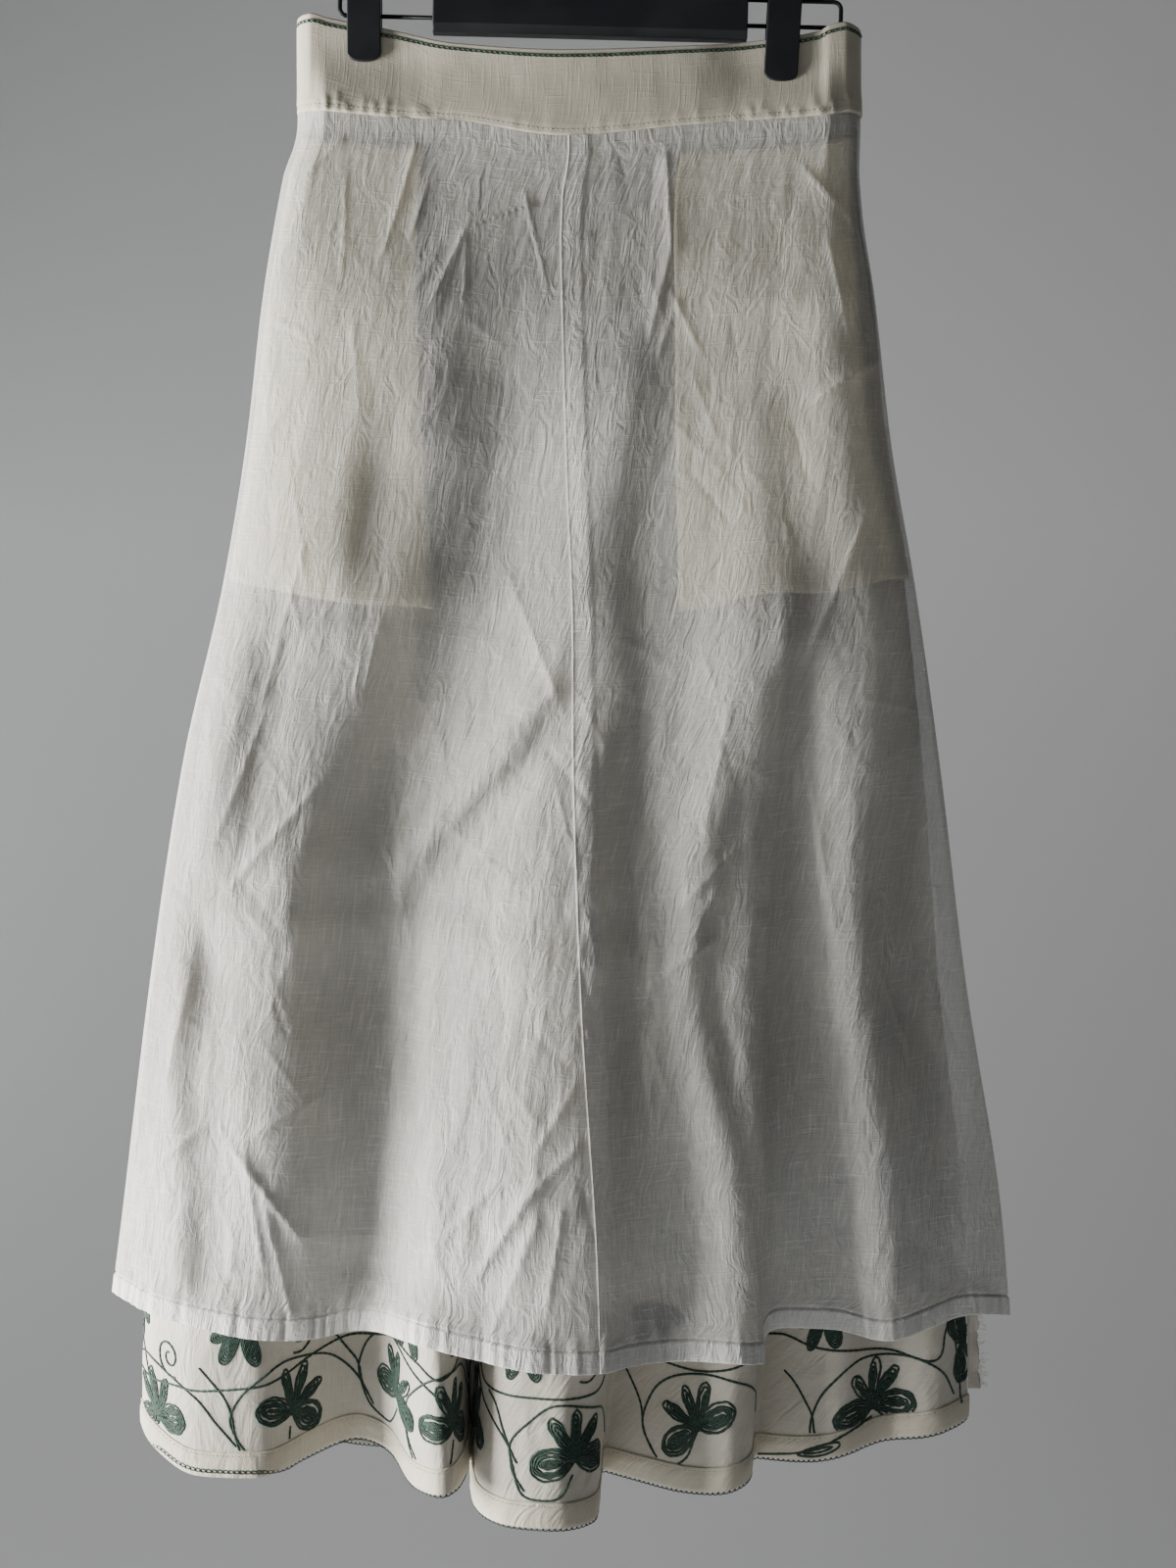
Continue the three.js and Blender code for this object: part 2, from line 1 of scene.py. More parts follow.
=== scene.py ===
"""A lined A-line skirt, turned inside out and hung by its waistband from a hanger with two clips.

The tables and the shape functions are in millimetres, and a mesh is made in metres. +Z is up, +X to the
viewer's right, and the viewer stands on the -Y side. The origin is the inner crown of the hanger's hook.

A place on a loop of cloth is t: 0 to 1 along the front from left to right, 1 to 2 back along the rear. A
place down a hanging layer is v: 0 at the waist seam, 1 at the hem.
"""

import json
import logging
import math
from collections.abc import Callable, Sequence
from dataclasses import dataclass, field
from enum import Enum

import bmesh
import bpy
import numpy as np
from mathutils import Matrix, Vector

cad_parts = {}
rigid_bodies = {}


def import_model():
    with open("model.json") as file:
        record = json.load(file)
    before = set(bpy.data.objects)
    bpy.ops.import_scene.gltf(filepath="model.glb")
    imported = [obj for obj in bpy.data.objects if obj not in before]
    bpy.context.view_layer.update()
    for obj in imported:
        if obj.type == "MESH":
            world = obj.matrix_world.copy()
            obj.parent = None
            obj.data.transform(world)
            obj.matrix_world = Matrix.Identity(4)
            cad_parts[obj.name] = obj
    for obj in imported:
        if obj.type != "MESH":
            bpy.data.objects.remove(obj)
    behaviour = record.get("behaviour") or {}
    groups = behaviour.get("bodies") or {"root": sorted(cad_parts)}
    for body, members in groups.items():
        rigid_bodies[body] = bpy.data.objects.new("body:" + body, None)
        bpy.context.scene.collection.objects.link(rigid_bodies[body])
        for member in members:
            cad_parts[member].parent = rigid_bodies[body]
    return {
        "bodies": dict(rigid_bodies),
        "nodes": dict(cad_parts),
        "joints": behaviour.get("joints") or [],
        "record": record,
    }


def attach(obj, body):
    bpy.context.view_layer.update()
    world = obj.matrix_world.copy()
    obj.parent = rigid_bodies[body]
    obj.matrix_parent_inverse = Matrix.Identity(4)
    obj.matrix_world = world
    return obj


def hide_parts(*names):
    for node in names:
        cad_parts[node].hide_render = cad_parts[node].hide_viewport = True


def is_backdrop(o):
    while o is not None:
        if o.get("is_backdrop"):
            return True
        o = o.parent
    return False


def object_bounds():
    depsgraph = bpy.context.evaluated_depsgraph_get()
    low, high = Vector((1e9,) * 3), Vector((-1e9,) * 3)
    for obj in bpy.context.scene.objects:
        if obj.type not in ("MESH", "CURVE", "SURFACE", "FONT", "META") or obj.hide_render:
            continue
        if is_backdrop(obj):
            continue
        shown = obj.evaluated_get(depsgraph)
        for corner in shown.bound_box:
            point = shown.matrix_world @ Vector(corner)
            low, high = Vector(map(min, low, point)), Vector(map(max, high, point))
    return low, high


Array = np.ndarray
Point = tuple[float, float, float]
Colour = tuple[float, float, float]

MM = 0.001
BODY = "root"
log = logging.getLogger("skirt")


class Side(Enum):
    """The two halves of a loop."""

    FRONT = "front"
    BACK = "back"

    @property
    def span(self) -> tuple[float, float]:
        """Returns the half's first and last place on the loop."""
        return (0.0, 1.0) if self is Side.FRONT else (1.0, 2.0)


# ---------- tables and curves ----------


class Table:
    """Rows of numbers under named columns.

    Args:
        columns: the columns' names.
        rows: one tuple of numbers for each row.
    """

    def __init__(self, columns: str, rows: Sequence[Sequence[float]]) -> None:
        """Keeps each column as an array under its name."""
        self.columns = dict(zip(columns.split(), np.array(rows, float).T))

    def __getitem__(self, name: str) -> Array:
        """Returns one column."""
        return self.columns[name]

    def curve(self, name: str, keys: str | Array) -> "Curve":
        """Returns the curve through a column, along another column or along given keys."""
        along = self.columns[keys] if isinstance(keys, str) else keys
        return Curve(along, self.columns[name])


class Curve:
    """A monotone cubic through points: its slope is nought at a local high or low.

    Args:
        keys: where the points are, rising.
        values: their heights.
    """

    def __init__(self, keys: Array, values: Array) -> None:
        """Works out the slope at each point, the harmonic mean of the slopes on both sides."""
        self.keys, self.values = np.asarray(keys, float), np.asarray(values, float)
        rise = np.diff(self.values) / np.diff(self.keys)
        before, after = rise[:-1], rise[1:]
        same = before * after > 0
        self.slopes = np.concatenate([rise[:1], np.zeros(len(before)), rise[-1:]])
        self.slopes[1:-1] = np.where(same, 2 * before * after / np.where(same, before + after, 1), 0)

    def __call__(self, key: Array) -> Array:
        """Returns the curve's height at each key, held level beyond its ends."""
        i = np.clip(np.searchsorted(self.keys, key, side="left") - 1, 0, len(self.keys) - 2)
        span = self.keys[i + 1] - self.keys[i]
        w = np.clip((key - self.keys[i]) / span, 0, 1)
        w2, w3 = w * w, w * w * w
        start = (2 * w3 - 3 * w2 + 1) * self.values[i] + (w3 - 2 * w2 + w) * span * self.slopes[i]
        return start + (3 * w2 - 2 * w3) * self.values[i + 1] + (w3 - w2) * span * self.slopes[i + 1]


def spline(knots: Array, per_span: int = 14) -> Array:
    """Returns a smooth line through knots, by the Catmull-Rom formula.

    Args:
        knots: the points that it goes through.
        per_span: how many points lie between two knots.
    """
    padded = np.concatenate([[2 * knots[0] - knots[1]], knots, [2 * knots[-1] - knots[-2]]])
    a, b, c, d = padded[:-3], padded[1:-2], padded[2:-1], padded[3:]
    w = np.linspace(0, 1, per_span, endpoint=False)[:, None, None]
    line = 0.5 * (2 * b + (c - a) * w + (2 * a - 5 * b + 4 * c - d) * w**2 + (3 * b - a - 3 * c + d) * w**3)
    return np.concatenate([line.transpose(1, 0, 2).reshape(-1, knots.shape[1]), knots[-1:]])


def lerp(a: Array, b: Array, share: Array) -> Array:
    """Returns the value that lies at a share of the way from a to b."""
    return a + (b - a) * share


def run_along(points: Array, axis: int) -> Array:
    """Returns the distance run along each line of a grid of points."""
    steps = np.linalg.norm(np.diff(points, axis=axis), axis=-1)
    start = np.zeros_like(np.take(steps, [0], axis))
    return np.concatenate([start, np.cumsum(steps, axis)], axis)


def unit(vectors: Array) -> Array:
    """Returns vectors drawn to a length of one."""
    return vectors / np.linalg.norm(vectors, axis=-1, keepdims=True)


def at_runs(places: Array, run: Array, path: Array) -> Array:
    """Returns the points, or the directions, at places along a path that has run so far at its own points."""
    return np.stack([np.interp(places, run, path[:, k]) for k in range(3)], -1)


def smooth(value: Array, low: float, high: float) -> Array:
    """Returns 0 below low, 1 above high, and a smooth step between."""
    w = np.clip((value - low) / (high - low), 0, 1)
    return w * w * (3 - 2 * w)


WAIST = Table("x top seam front back open", [
    (-191, -116.0, -176.0, 11.0, 11.0, 0), (-190, -115.6, -176.2, 6.0, 16.0, 0),
    (-186, -115.0, -177.0, 0.2, 20.0, 1), (-180, -115.0, -178.0, -3.2, 16.0, 3),
    (-170, -117.8, -179.0, -3.4, 3.4, 7), (-128, -126.0, -183.0, -3.4, 3.4, 7),
    (-90, -135.0, -185.0, -7.0, 7.0, 3.5), (-20, -140.0, -195.0, -10.0, 9.5, 2),
    (60, -137.0, -188.0, -8.0, 8.0, 3), (100, -133.0, -185.0, -3.4, 3.4, 7),
    (142, -126.5, -182.0, -3.4, 3.3, 7), (149, -123.0, -181.0, -5.2, 9.0, 5),
    (159, -121.0, -179.0, -4.9, 17.5, 2), (166, -121.5, -178.0, 0.5, 20.5, 1),
    (170, -122.4, -177.6, 7.0, 16.5, 0), (171, -123.0, -177.5, 12.0, 12.0, 0),
])
BODY_TABLE = Table("drop left right front back", [
    (0, -191, 171, 9, 10), (30, -198, 170, 15.5, 17.5), (60, -203.5, 171.5, 20, 22),
    (115, -211.5, 178.5, 24, 27), (210, -222, 189, 27, 32), (300, -236.5, 204, 30, 35),
    (415, -262, 220, 34, 39), (550, -282, 236, 40, 45), (700, -299.5, 259, 48, 52),
    (770, -307.5, 264.5, 52, 56), (870, -314, 271, 56, 61),
])
SEAM_LINE = Table("level place", [(0, 0.482), (0.39, 0.503), (0.72, 0.518), (0.9, 0.522), (1, 0.525)])
SKIRT_INSET = Table("drop inset", [(0, 2.1), (12, 6), (60, 8), (210, 10.5), (415, 12), (700, 13), (870, 14)])
LINING_FRONT = Table("x y z opens", [
    (-307, 0, -928, 0.1), (-282, -22, -936, 0.1), (-248, -38, -942, 0.2), (-209, -46, -948, 0.2),
    (-180, -43, -949, 0.2), (-145, -36, -944, 0.3), (-112, -50, -947, 0.3), (-76, -68, -954, 0.3),
    (-34, -77, -961, 0.3), (0, -74, -962.5, 0.3), (26, -60, -960, 0.3), (56, -54, -959, 0.4),
    (86, -58, -960, 0.5), (105.7, -48, -962, 0.7), (104.6, -26, -954, 0.78), (112, -17, -947, 0.7),
    (150, -22, -947, 0.4), (182, -30, -953, 0.3), (206, -22, -948, 0.3), (236, -12, -940, 0.2),
    (264, 0, -943, 0.1),
])
LINING_BACK = Table("x y z opens", [
    (-307, 0, -928, 0.1), (-280, 34, -938, 0.2), (-235, 62, -948, 0.3), (-185, 52, -945, 0.3),
    (-130, 76, -955, 0.3), (-72, 62, -952, 0.3), (-20, 82, -960, 0.3), (40, 62, -954, 0.3),
    (100, 76, -957, 0.3), (160, 54, -950, 0.3), (205, 56, -948, 0.3), (244, 30, -944, 0.2),
    (264, 0, -943, 0.1),
])
SKIRT_FRONT = Table("x y z opens", [
    (-288.5, 0, -1011, 0.15), (-285, -9, -1016, 0.15), (-273, -20, -1025, 0.15), (-248, -35, -1035, 0.2),
    (-209, -40, -1035, 0.2), (-181, -14, -1028, 0.25), (-152, 8, -1022, 0.25), (-129, -12, -1025, 0.25),
    (-111, -46, -1039, 0.3), (-92, -62, -1040, 0.3), (-81, -42, -1033, 0.4), (-79.3, 15, -1030, 0.45),
    (-75.5, -36, -1052, 0.4), (-56, -58, -1058, 0.3), (-22, -64, -1059, 0.3), (1, -44, -1058, 0.35),
    (3.6, 16, -1045, 0.4), (27, 0, -1047, 0.35), (57, -22, -1048, 0.35), (84, -34, -1045, 0.35),
    (98, -18, -1040, 0.35), (101, 14, -1036, 0.35), (120, 2, -1035, 0.3), (151, -12, -1030, 0.3),
    (183, 3, -1022, 0.25), (214, -4, -1018, 0.2), (239, 12, -1011, 0.15),
])
SKIRT_BACK = Table("x y z opens", [
    (-288.5, 0, -1011, 0.15), (-285, 10, -1015, 0.15), (-268, 26, -1022, 0.2), (-228, 50, -1034, 0.25),
    (-184, 30, -1028, 0.25), (-148, 54, -1040, 0.25), (-108, 68, -1046, 0.3), (-84, 44, -1040, 0.35),
    (-46, 60, -1050, 0.3), (-8, 72, -1056, 0.3), (30, 50, -1050, 0.3), (50, 44, -1046, 0.3),
    (84, 66, -1047, 0.3), (118, 68, -1043, 0.3), (146, 42, -1034, 0.3), (184, 52, -1029, 0.25),
    (218, 40, -1020, 0.2), (239, 12, -1011, 0.15),
])


# ---------- the loop of cloth ----------


class Loop:
    """The loop that every layer follows: curled at the waistband, flat with round ends below it."""

    left, right = WAIST["x"][0], WAIST["x"][-1]
    band_opens = 0.25
    squareness = 8
    settle_width, settle_section = 40.0, 150.0
    step = 1e-3

    def __init__(self) -> None:
        """Makes the curves through the waist's and the body's tables."""
        self.waist = {name: WAIST.curve(name, "x") for name in ("top", "seam", "front", "back", "open")}
        self.body = {name: BODY_TABLE.curve(name, "drop") for name in ("left", "right", "front", "back")}

    @staticmethod
    def share(t: Array) -> Array:
        """Returns how far along its half, from left to right, a place on the loop lies."""
        return np.where(t <= 1, t, 2 - t)

    def waist_x(self, t: Array) -> Array:
        """Returns the waistband's X at a place on the loop."""
        return lerp(self.left, self.right, self.share(t))

    def band(self, t: Array, w: Array) -> Array:
        """Returns the waistband's outer face, w running from its top edge (0) to the seam (1).

        Its Y comes from the front or the back column, opened further below a share of its height; its Z is
        blended between the top edge and the seam.

        Args:
            t: places on the loop.
            w: places down the band.
        """
        x = self.waist_x(t)
        opening = self.waist["open"](x) * smooth(w, self.band_opens, 1)
        y = np.where(t <= 1, self.waist["front"](x) - opening, self.waist["back"](x) + opening)
        z = lerp(self.waist["top"](x), self.waist["seam"](x), w)
        return np.stack(np.broadcast_arrays(x, y, z), -1)

    def outward(self, surface: Callable[[Array, Array], Array], t: Array, v: Array) -> Array:
        """Returns the level outward normal of a surface: its run along the loop, turned a quarter."""
        along = surface((t + self.step) % 2, v) - surface((t - self.step) % 2, v)
        normal = np.stack([along[..., 1], -along[..., 0], np.zeros(along.shape[:-1])], -1)
        return unit(normal)

    def plain(self, t: Array, drop: Array, inset: Array) -> tuple[Array, Array]:
        """Returns the X and Y of the body at a drop below the waist seam, before any fold.

        The section is a flattened ring: its Y is the stand of its middle times the root of one less a high
        power of the place across. Near the waist it is blended with the waistband's curled loop.

        Args:
            t: places on the loop.
            drop: how far below the waist seam.
            inset: how far inside the lining's face.
        """
        share = self.share(t)
        rounding = np.sqrt(np.clip(1 - np.abs(2 * share - 1) ** self.squareness, 0, None))
        rear = np.where(t <= 1, -1.0, 1.0)
        stand = np.where(t <= 1, self.body["front"](drop), self.body["back"](drop))
        one = np.ones_like(share)
        seam = self.band(t, one)
        inward = -self.outward(self.band, t, one) * np.asarray(inset)[..., None]
        settled = smooth(drop, 0, self.settle_section)
        body_x = lerp(self.body["left"](drop), self.body["right"](drop), share)
        x = lerp(seam[..., 0], body_x, smooth(drop, 0, self.settle_width))
        y = lerp(seam[..., 1], rear * stand * rounding, settled)
        x = x + lerp(inward[..., 0], inset * (1 - 2 * share), settled)
        y = y + lerp(inward[..., 1], -rear * inset * rounding, settled)
        return x, y


class HemCurves:
    """A half hem as curves along the share of its own length, with the corners of its folds rounded.

    Args:
        table: the hem's stations.
    """

    samples = 601
    soft = 5

    def __init__(self, table: Table) -> None:
        """Lays the stations along their summed distance in plan."""
        steps = np.hypot(np.diff(table["x"]), np.diff(table["y"]))
        lengths = np.concatenate([[0], np.cumsum(steps)])
        shares = lengths / lengths[-1]
        even = np.linspace(0, 1, self.samples)
        self.curves = {name: Curve(even, self.softened(table.curve(name, shares)(even)))
                       for name in ("x", "y", "z", "opens")}

    def __getitem__(self, name: str) -> Curve:
        """Returns one of the curves."""
        return self.curves[name]

    def softened(self, values: Array) -> Array:
        """Returns evenly spaced values averaged under a bell, and left as they are at both ends."""
        reach = 3 * self.soft
        bell = np.exp(-0.5 * (np.arange(-reach, reach + 1) / self.soft) ** 2)
        padded = np.concatenate([2 * values[0] - values[reach:0:-1], values,
                                 2 * values[-1] - values[-2:-reach - 2:-1]])
        return np.convolve(padded, bell / bell.sum(), "valid")


class Layer:
    """A layer of cloth that hangs from the waist seam and opens into folds towards its hem.

    Args:
        loop: the loop that it follows.
        front: the hem stations of its front.
        back: those of its back.
        inset: gives how far inside the lining's face it lies, from a drop and a share.
    """

    seam_gap = 0.3
    fold_power = 1.25

    def __init__(self, loop: Loop, front: Table, back: Table, inset: Callable[[Array, Array], Array]) -> None:
        """Keeps the loop and makes the hem's curves."""
        self.loop, self.inset = loop, inset
        self.front, self.back = HemCurves(front), HemCurves(back)

    def hem(self, name: str, t: Array) -> Array:
        """Returns one of the hem's curves at places on the loop."""
        share = self.loop.share(t)
        return np.where(t <= 1, self.front[name](share), self.back[name](share))

    def length(self, t: Array) -> Array:
        """Returns the drop from the waist seam to the hem."""
        return self.loop.waist["seam"](self.loop.waist_x(t)) - self.seam_gap - self.hem("z", t)

    def at(self, t: Array, v: Array) -> Array:
        """Returns the layer's points: the plain body, and the hem's offset from it as the fold opens.

        Args:
            t: places on the loop.
            v: places down the layer.
        """
        t, v = np.broadcast_arrays(np.asarray(t, float), np.asarray(v, float))
        share, length = self.loop.share(t), self.length(t)
        end_x, end_y = self.loop.plain(t, length, self.inset(length, share))
        opens = self.hem("opens", t)
        fold = np.clip((v - opens) / (1 - opens), 0, 1) ** self.fold_power
        drop = v * length
        x, y = self.loop.plain(t, drop, self.inset(drop, share))
        seam = self.loop.waist["seam"](self.loop.waist_x(t)) - self.seam_gap
        return np.stack([x + fold * (self.hem("x", t) - end_x), y + fold * (self.hem("y", t) - end_y),
                         seam - drop], -1)

    def body_out(self, t: Array, v: Array) -> Array:
        """Returns the outward normal of the plain body, which turns evenly where the hem's folds don't."""

        def body(t: Array, v: Array) -> Array:
            """Returns the plain body, level by level."""
            return np.stack(self.loop.plain(t, v * self.length(t), self.inset(v, self.loop.share(t))), -1)

        t, v = np.broadcast_arrays(np.asarray(t, float), np.asarray(v, float))
        return self.loop.outward(body, t, v)

    def out(self, t: Array, v: Array, distance: Array) -> Array:
        """Returns the layer's points, moved out of its face."""
        t, v = np.broadcast_arrays(np.asarray(t, float), np.asarray(v, float))
        return self.at(t, v) + self.loop.outward(self.at, t, v) * np.asarray(distance)[..., None]


@dataclass(frozen=True)
class Garment:
    """The loop and the two layers that hang on it."""

    loop: Loop
    lining: Layer
    skirt: Layer
    lining_inset: float = 0.5
    side_inset: float = 2.1
    side_share: float = 0.07

    @classmethod
    def make(cls) -> "Garment":
        """Makes the layers: the skirt lies close to the lining at the sides and further in between."""
        loop = Loop()
        inner = SKIRT_INSET.curve("inset", "drop")

        def skirt_inset(drop: Array, share: Array) -> Array:
            """Returns the skirt's inset, blended from the side seams inwards."""
            from_side = np.clip(np.minimum(share, 1 - share) / cls.side_share, 0, 1)
            return lerp(cls.side_inset, inner(drop), from_side)

        def lining_inset(drop: Array, share: Array) -> Array:
            """Returns the lining's inset, the same all over."""
            return np.full(np.broadcast(drop, share).shape, cls.lining_inset)

        lining = Layer(loop, LINING_FRONT, LINING_BACK, lining_inset)
        return cls(loop, lining, Layer(loop, SKIRT_FRONT, SKIRT_BACK, skirt_inset))


# ---------- relief ----------


def noise(u: Array, v: Array, seed: int) -> Array:
    """Returns smooth noise from -1 to 1: random heights at whole numbers, blended by a smooth step.

    Args:
        u: places along one axis.
        v: places along the other.
        seed: the seed of the random heights.
    """
    table = np.random.default_rng(seed).uniform(-1, 1, (128, 128))
    i, j = np.floor(u).astype(int), np.floor(v).astype(int)
    a, b = smooth(u - i, 0, 1), smooth(v - j, 0, 1)
    top = lerp(table[i % 128, j % 128], table[(i + 1) % 128, j % 128], a)
    low = lerp(table[i % 128, (j + 1) % 128], table[(i + 1) % 128, (j + 1) % 128], a)
    return lerp(top, low, b)


def crumple(x: Array, z: Array, wide: float, tall: float, seed: int) -> Array:
    """Returns crumpled cloth from -1 to 1: ridged noise, sharp along its crests, on a slowly bent grid."""
    bend = noise(x / 60, z / 90, seed + 1)
    u, v = x / wide + 0.9 * bend, z / tall + 0.7 * bend
    return 1 - 2 * np.abs(noise(u, v, seed)) ** 0.8


@dataclass(frozen=True)
class Flank:
    """One side of a broad fold: a band of cloth that turns aside, to the left if its slope is positive.

    Its rows give, from the top down, its height, its middle's X and its slope there.
    """

    width: float
    rows: tuple[Point, ...]

    def slope(self, x: Array, z: Array) -> Array:
        """Returns its slope over the cloth, a bell across the band."""
        down = np.array(self.rows)[::-1]
        middle, strength = Curve(down[:, 0], down[:, 1]), Curve(down[:, 0], down[:, 2])
        fade = smooth(z, down[0, 0] - 40, down[0, 0]) * (1 - smooth(z, down[-1, 0], down[-1, 0] + 40))
        return strength(z) * fade * np.exp(-(((x - middle(z)) / self.width) ** 2))


FRONT_FLANKS = (
    Flank(26, ((-300, -200, 0.04), (-361, -206, 0.06), (-544, -244, 0.08), (-727, -272, 0.10),
               (-873, -285, 0.06))),
    Flank(12, ((-500, -210, -0.20), (-544, -214, -0.50), (-605, -224, -0.55), (-660, -232, -0.20))),
    Flank(8, ((-680, -254, -0.30), (-727, -254, -0.90), (-790, -256, -0.45), (-850, -252, -0.50),
              (-905, -250, -0.80))),
    Flank(10, ((-700, -226, 0.08), (-780, -228, 0.16), (-880, -228, 0.16))),
    Flank(10, ((-385, -140, -0.15), (-422, -146, -0.48), (-455, -150, -0.40), (-490, -150, -0.10))),
    Flank(24, ((-288, -80, -0.12), (-398, -76, -0.36), (-471, -98, -0.46), (-544, -124, -0.60),
               (-617, -154, -0.66), (-727, -171, -0.68), (-800, -166, -0.60), (-910, -160, -0.44))),
    Flank(8, ((-530, -16, -0.10), (-575, -39, -0.50), (-620, -76, -0.62), (-673, -117, -0.50),
              (-705, -124, -0.10))),
    Flank(9, ((-560, -56, 0.20), (-600, -84, 0.36), (-650, -126, 0.20))),
    Flank(7, ((-585, -22, 0.15), (-640, -66, 0.36), (-690, -106, 0.34), (-794, -108, 0.26),
              (-890, -104, 0.18))),
    Flank(36, ((-361, -26, 0.14), (-434, -41, 0.24), (-544, -47, 0.26), (-617, -65, 0.28),
               (-727, -80, 0.34), (-800, -92, 0.30), (-910, -98, 0.18))),
    Flank(14, ((-300, 28, -0.14), (-361, 34, -0.24), (-471, 16, -0.34), (-544, 24, -0.34), (-617, 12, -0.46),
               (-727, 11, -0.55), (-800, 12, -0.52), (-910, 19, -0.36))),
    Flank(9, ((-590, 86, -0.15), (-640, 80, -0.45), (-727, 66, -0.52), (-770, 70, -0.32), (-800, 76, -0.10))),
    Flank(20, ((-361, 86, 0.02), (-434, 75, 0.06), (-544, 68, 0.16), (-654, 52, 0.22),
               (-763, 48, 0.24), (-837, 68, 0.22), (-910, 84, 0.22))),
    Flank(15, ((-380, 112, -0.16), (-440, 120, -0.24), (-508, 132, -0.44), (-544, 120, -0.50),
               (-654, 107, -0.54), (-763, 107, -0.52), (-850, 112, -0.36), (-910, 120, -0.16))),
    Flank(15, ((-325, 130, 0.16), (-434, 132, 0.12), (-544, 142, 0.18), (-617, 148, 0.26),
               (-727, 145, 0.34), (-800, 156, 0.24), (-910, 165, 0.14))),
    Flank(18, ((-300, 178, -0.20), (-361, 183, -0.42), (-471, 200, -0.50), (-581, 190, -0.44),
               (-727, 181, -0.48), (-800, 198, -0.42), (-910, 203, -0.24))),
    Flank(11, ((-620, 214, 0.12), (-727, 216, 0.24), (-800, 227, 0.28), (-910, 240, 0.26))),
    Flank(16, ((-205, 118, 0.05), (-250, 122, 0.14), (-300, 136, 0.05))),
    Flank(10, ((-250, 160, -0.10), (-300, 160, -0.28), (-380, 168, -0.24), (-430, 176, -0.10))),
    Flank(5, ((-208, 134, -0.3), (-222, 143, -0.8), (-240, 155, -0.9), (-262, 164, -0.9), (-290, 168, -0.4))),
)
BACK_FLANKS = (
    Flank(34, ((-330, 120, 0.12), (-520, 160, 0.24), (-760, 190, 0.28), (-910, 205, 0.16))),
    Flank(24, ((-360, 80, -0.14), (-560, 110, -0.30), (-760, 128, -0.34), (-910, 140, -0.16))),
    Flank(30, ((-320, 10, 0.10), (-500, 40, 0.22), (-700, 62, 0.28), (-910, 70, 0.14))),
    Flank(22, ((-400, -20, -0.18), (-600, 0, -0.32), (-780, 12, -0.34), (-910, 20, -0.16))),
    Flank(36, ((-300, -110, 0.12), (-480, -90, 0.24), (-700, -60, 0.26), (-910, -40, 0.14))),
    Flank(26, ((-350, -150, -0.14), (-540, -150, -0.28), (-740, -130, -0.34), (-910, -110, -0.16))),
    Flank(30, ((-420, -200, 0.10), (-620, -215, 0.22), (-800, -205, 0.24), (-910, -200, 0.14))),
)

# The main creases of the lining's front: from one end to the other, their height and their width.
FRONT_CREASES = Table("x0 z0 x1 z1 height width", [
    (-115, -206, -122, -234, 1.6, 2.4), (-122, -234, -133, -270, 1.4, 2.6),
    (-108, -233, -115, -257, 1.2, 2.2), (-38, -239, -82, -256, 2.4, 1.8), (-82, -256, -101, -300, 1.6, 3.0),
    (-81, -262, -82, -296, 1.0, 2.4), (-160, -198, -193, -229, 1.2, 2.4),
    (-200, -313, -182, -323, 1.0, 2.0), (-27, -268, -3, -260, 1.2, 2.0), (45, -207, 48, -268, 2.2, 3.0),
    (48, -266, 35, -322, 1.9, 3.0), (40, -336, 51, -303, 1.3, 2.4), (49, -299, 64, -331, 1.3, 2.4),
    (48, -220, 66, -210, 1.0, 2.0), (139, -364, 178, -337, 2.6, 2.8), (133, -217, 160, -247, 1.5, 3.0),
    (160, -247, 168, -272, 1.5, 3.0), (146, -264, 156, -322, 1.5, 2.6), (171, -425, 157, -466, 1.7, 3.2),
    (157, -466, 131, -527, 1.6, 3.4), (60, -673, 88, -645, 1.6, 2.6), (33, -729, 74, -701, 1.9, 2.4),
    (63, -695, 76, -669, 1.2, 2.2), (-229, -672, -174, -607, 1.5, 3.2), (-273, -845, -247, -820, 1.2, 2.2),
    (-228, -827, -181, -888, 2.0, 3.0), (-214, -824, -167, -798, 1.4, 2.4),
    (-36, -829, -14, -792, 1.3, 2.4), (-72, -906, -41, -857, 1.8, 2.8), (-41, -857, -12, -827, 1.7, 2.6),
    (-96, -887, -66, -855, 1.3, 2.6), (-196, -884, -120, -891, 0.8, 1.8), (-150, -903, -60, -893, 0.9, 2.0),
    (-217, -828, -206, -905, 1.5, 3.4), (-205, -862, -188, -938, 1.6, 3.2),
    (-246, -905, -205, -911, 0.8, 1.6), (-20, -862, -30, -930, 1.4, 3.0), (-34, -868, -62, -938, 1.2, 3.0),
    (-126, -627, -24, -548, 1.6, 7.0), (-52, -480, -26, -545, 1.7, 5.0), (-207, -560, -236, -640, 1.4, 3.4),
    (-178, -448, -212, -566, 1.2, 3.0), (-134, -505, -146, -552, 1.2, 4.0), (83, -560, 66, -640, 1.3, 5.0),
    (134, -600, 150, -700, 1.4, 5.0), (148, -760, 158, -842, 1.2, 4.0), (204, -560, 218, -700, 1.2, 4.0),
    (-250, -700, -268, -800, 1.5, 4.0),
])


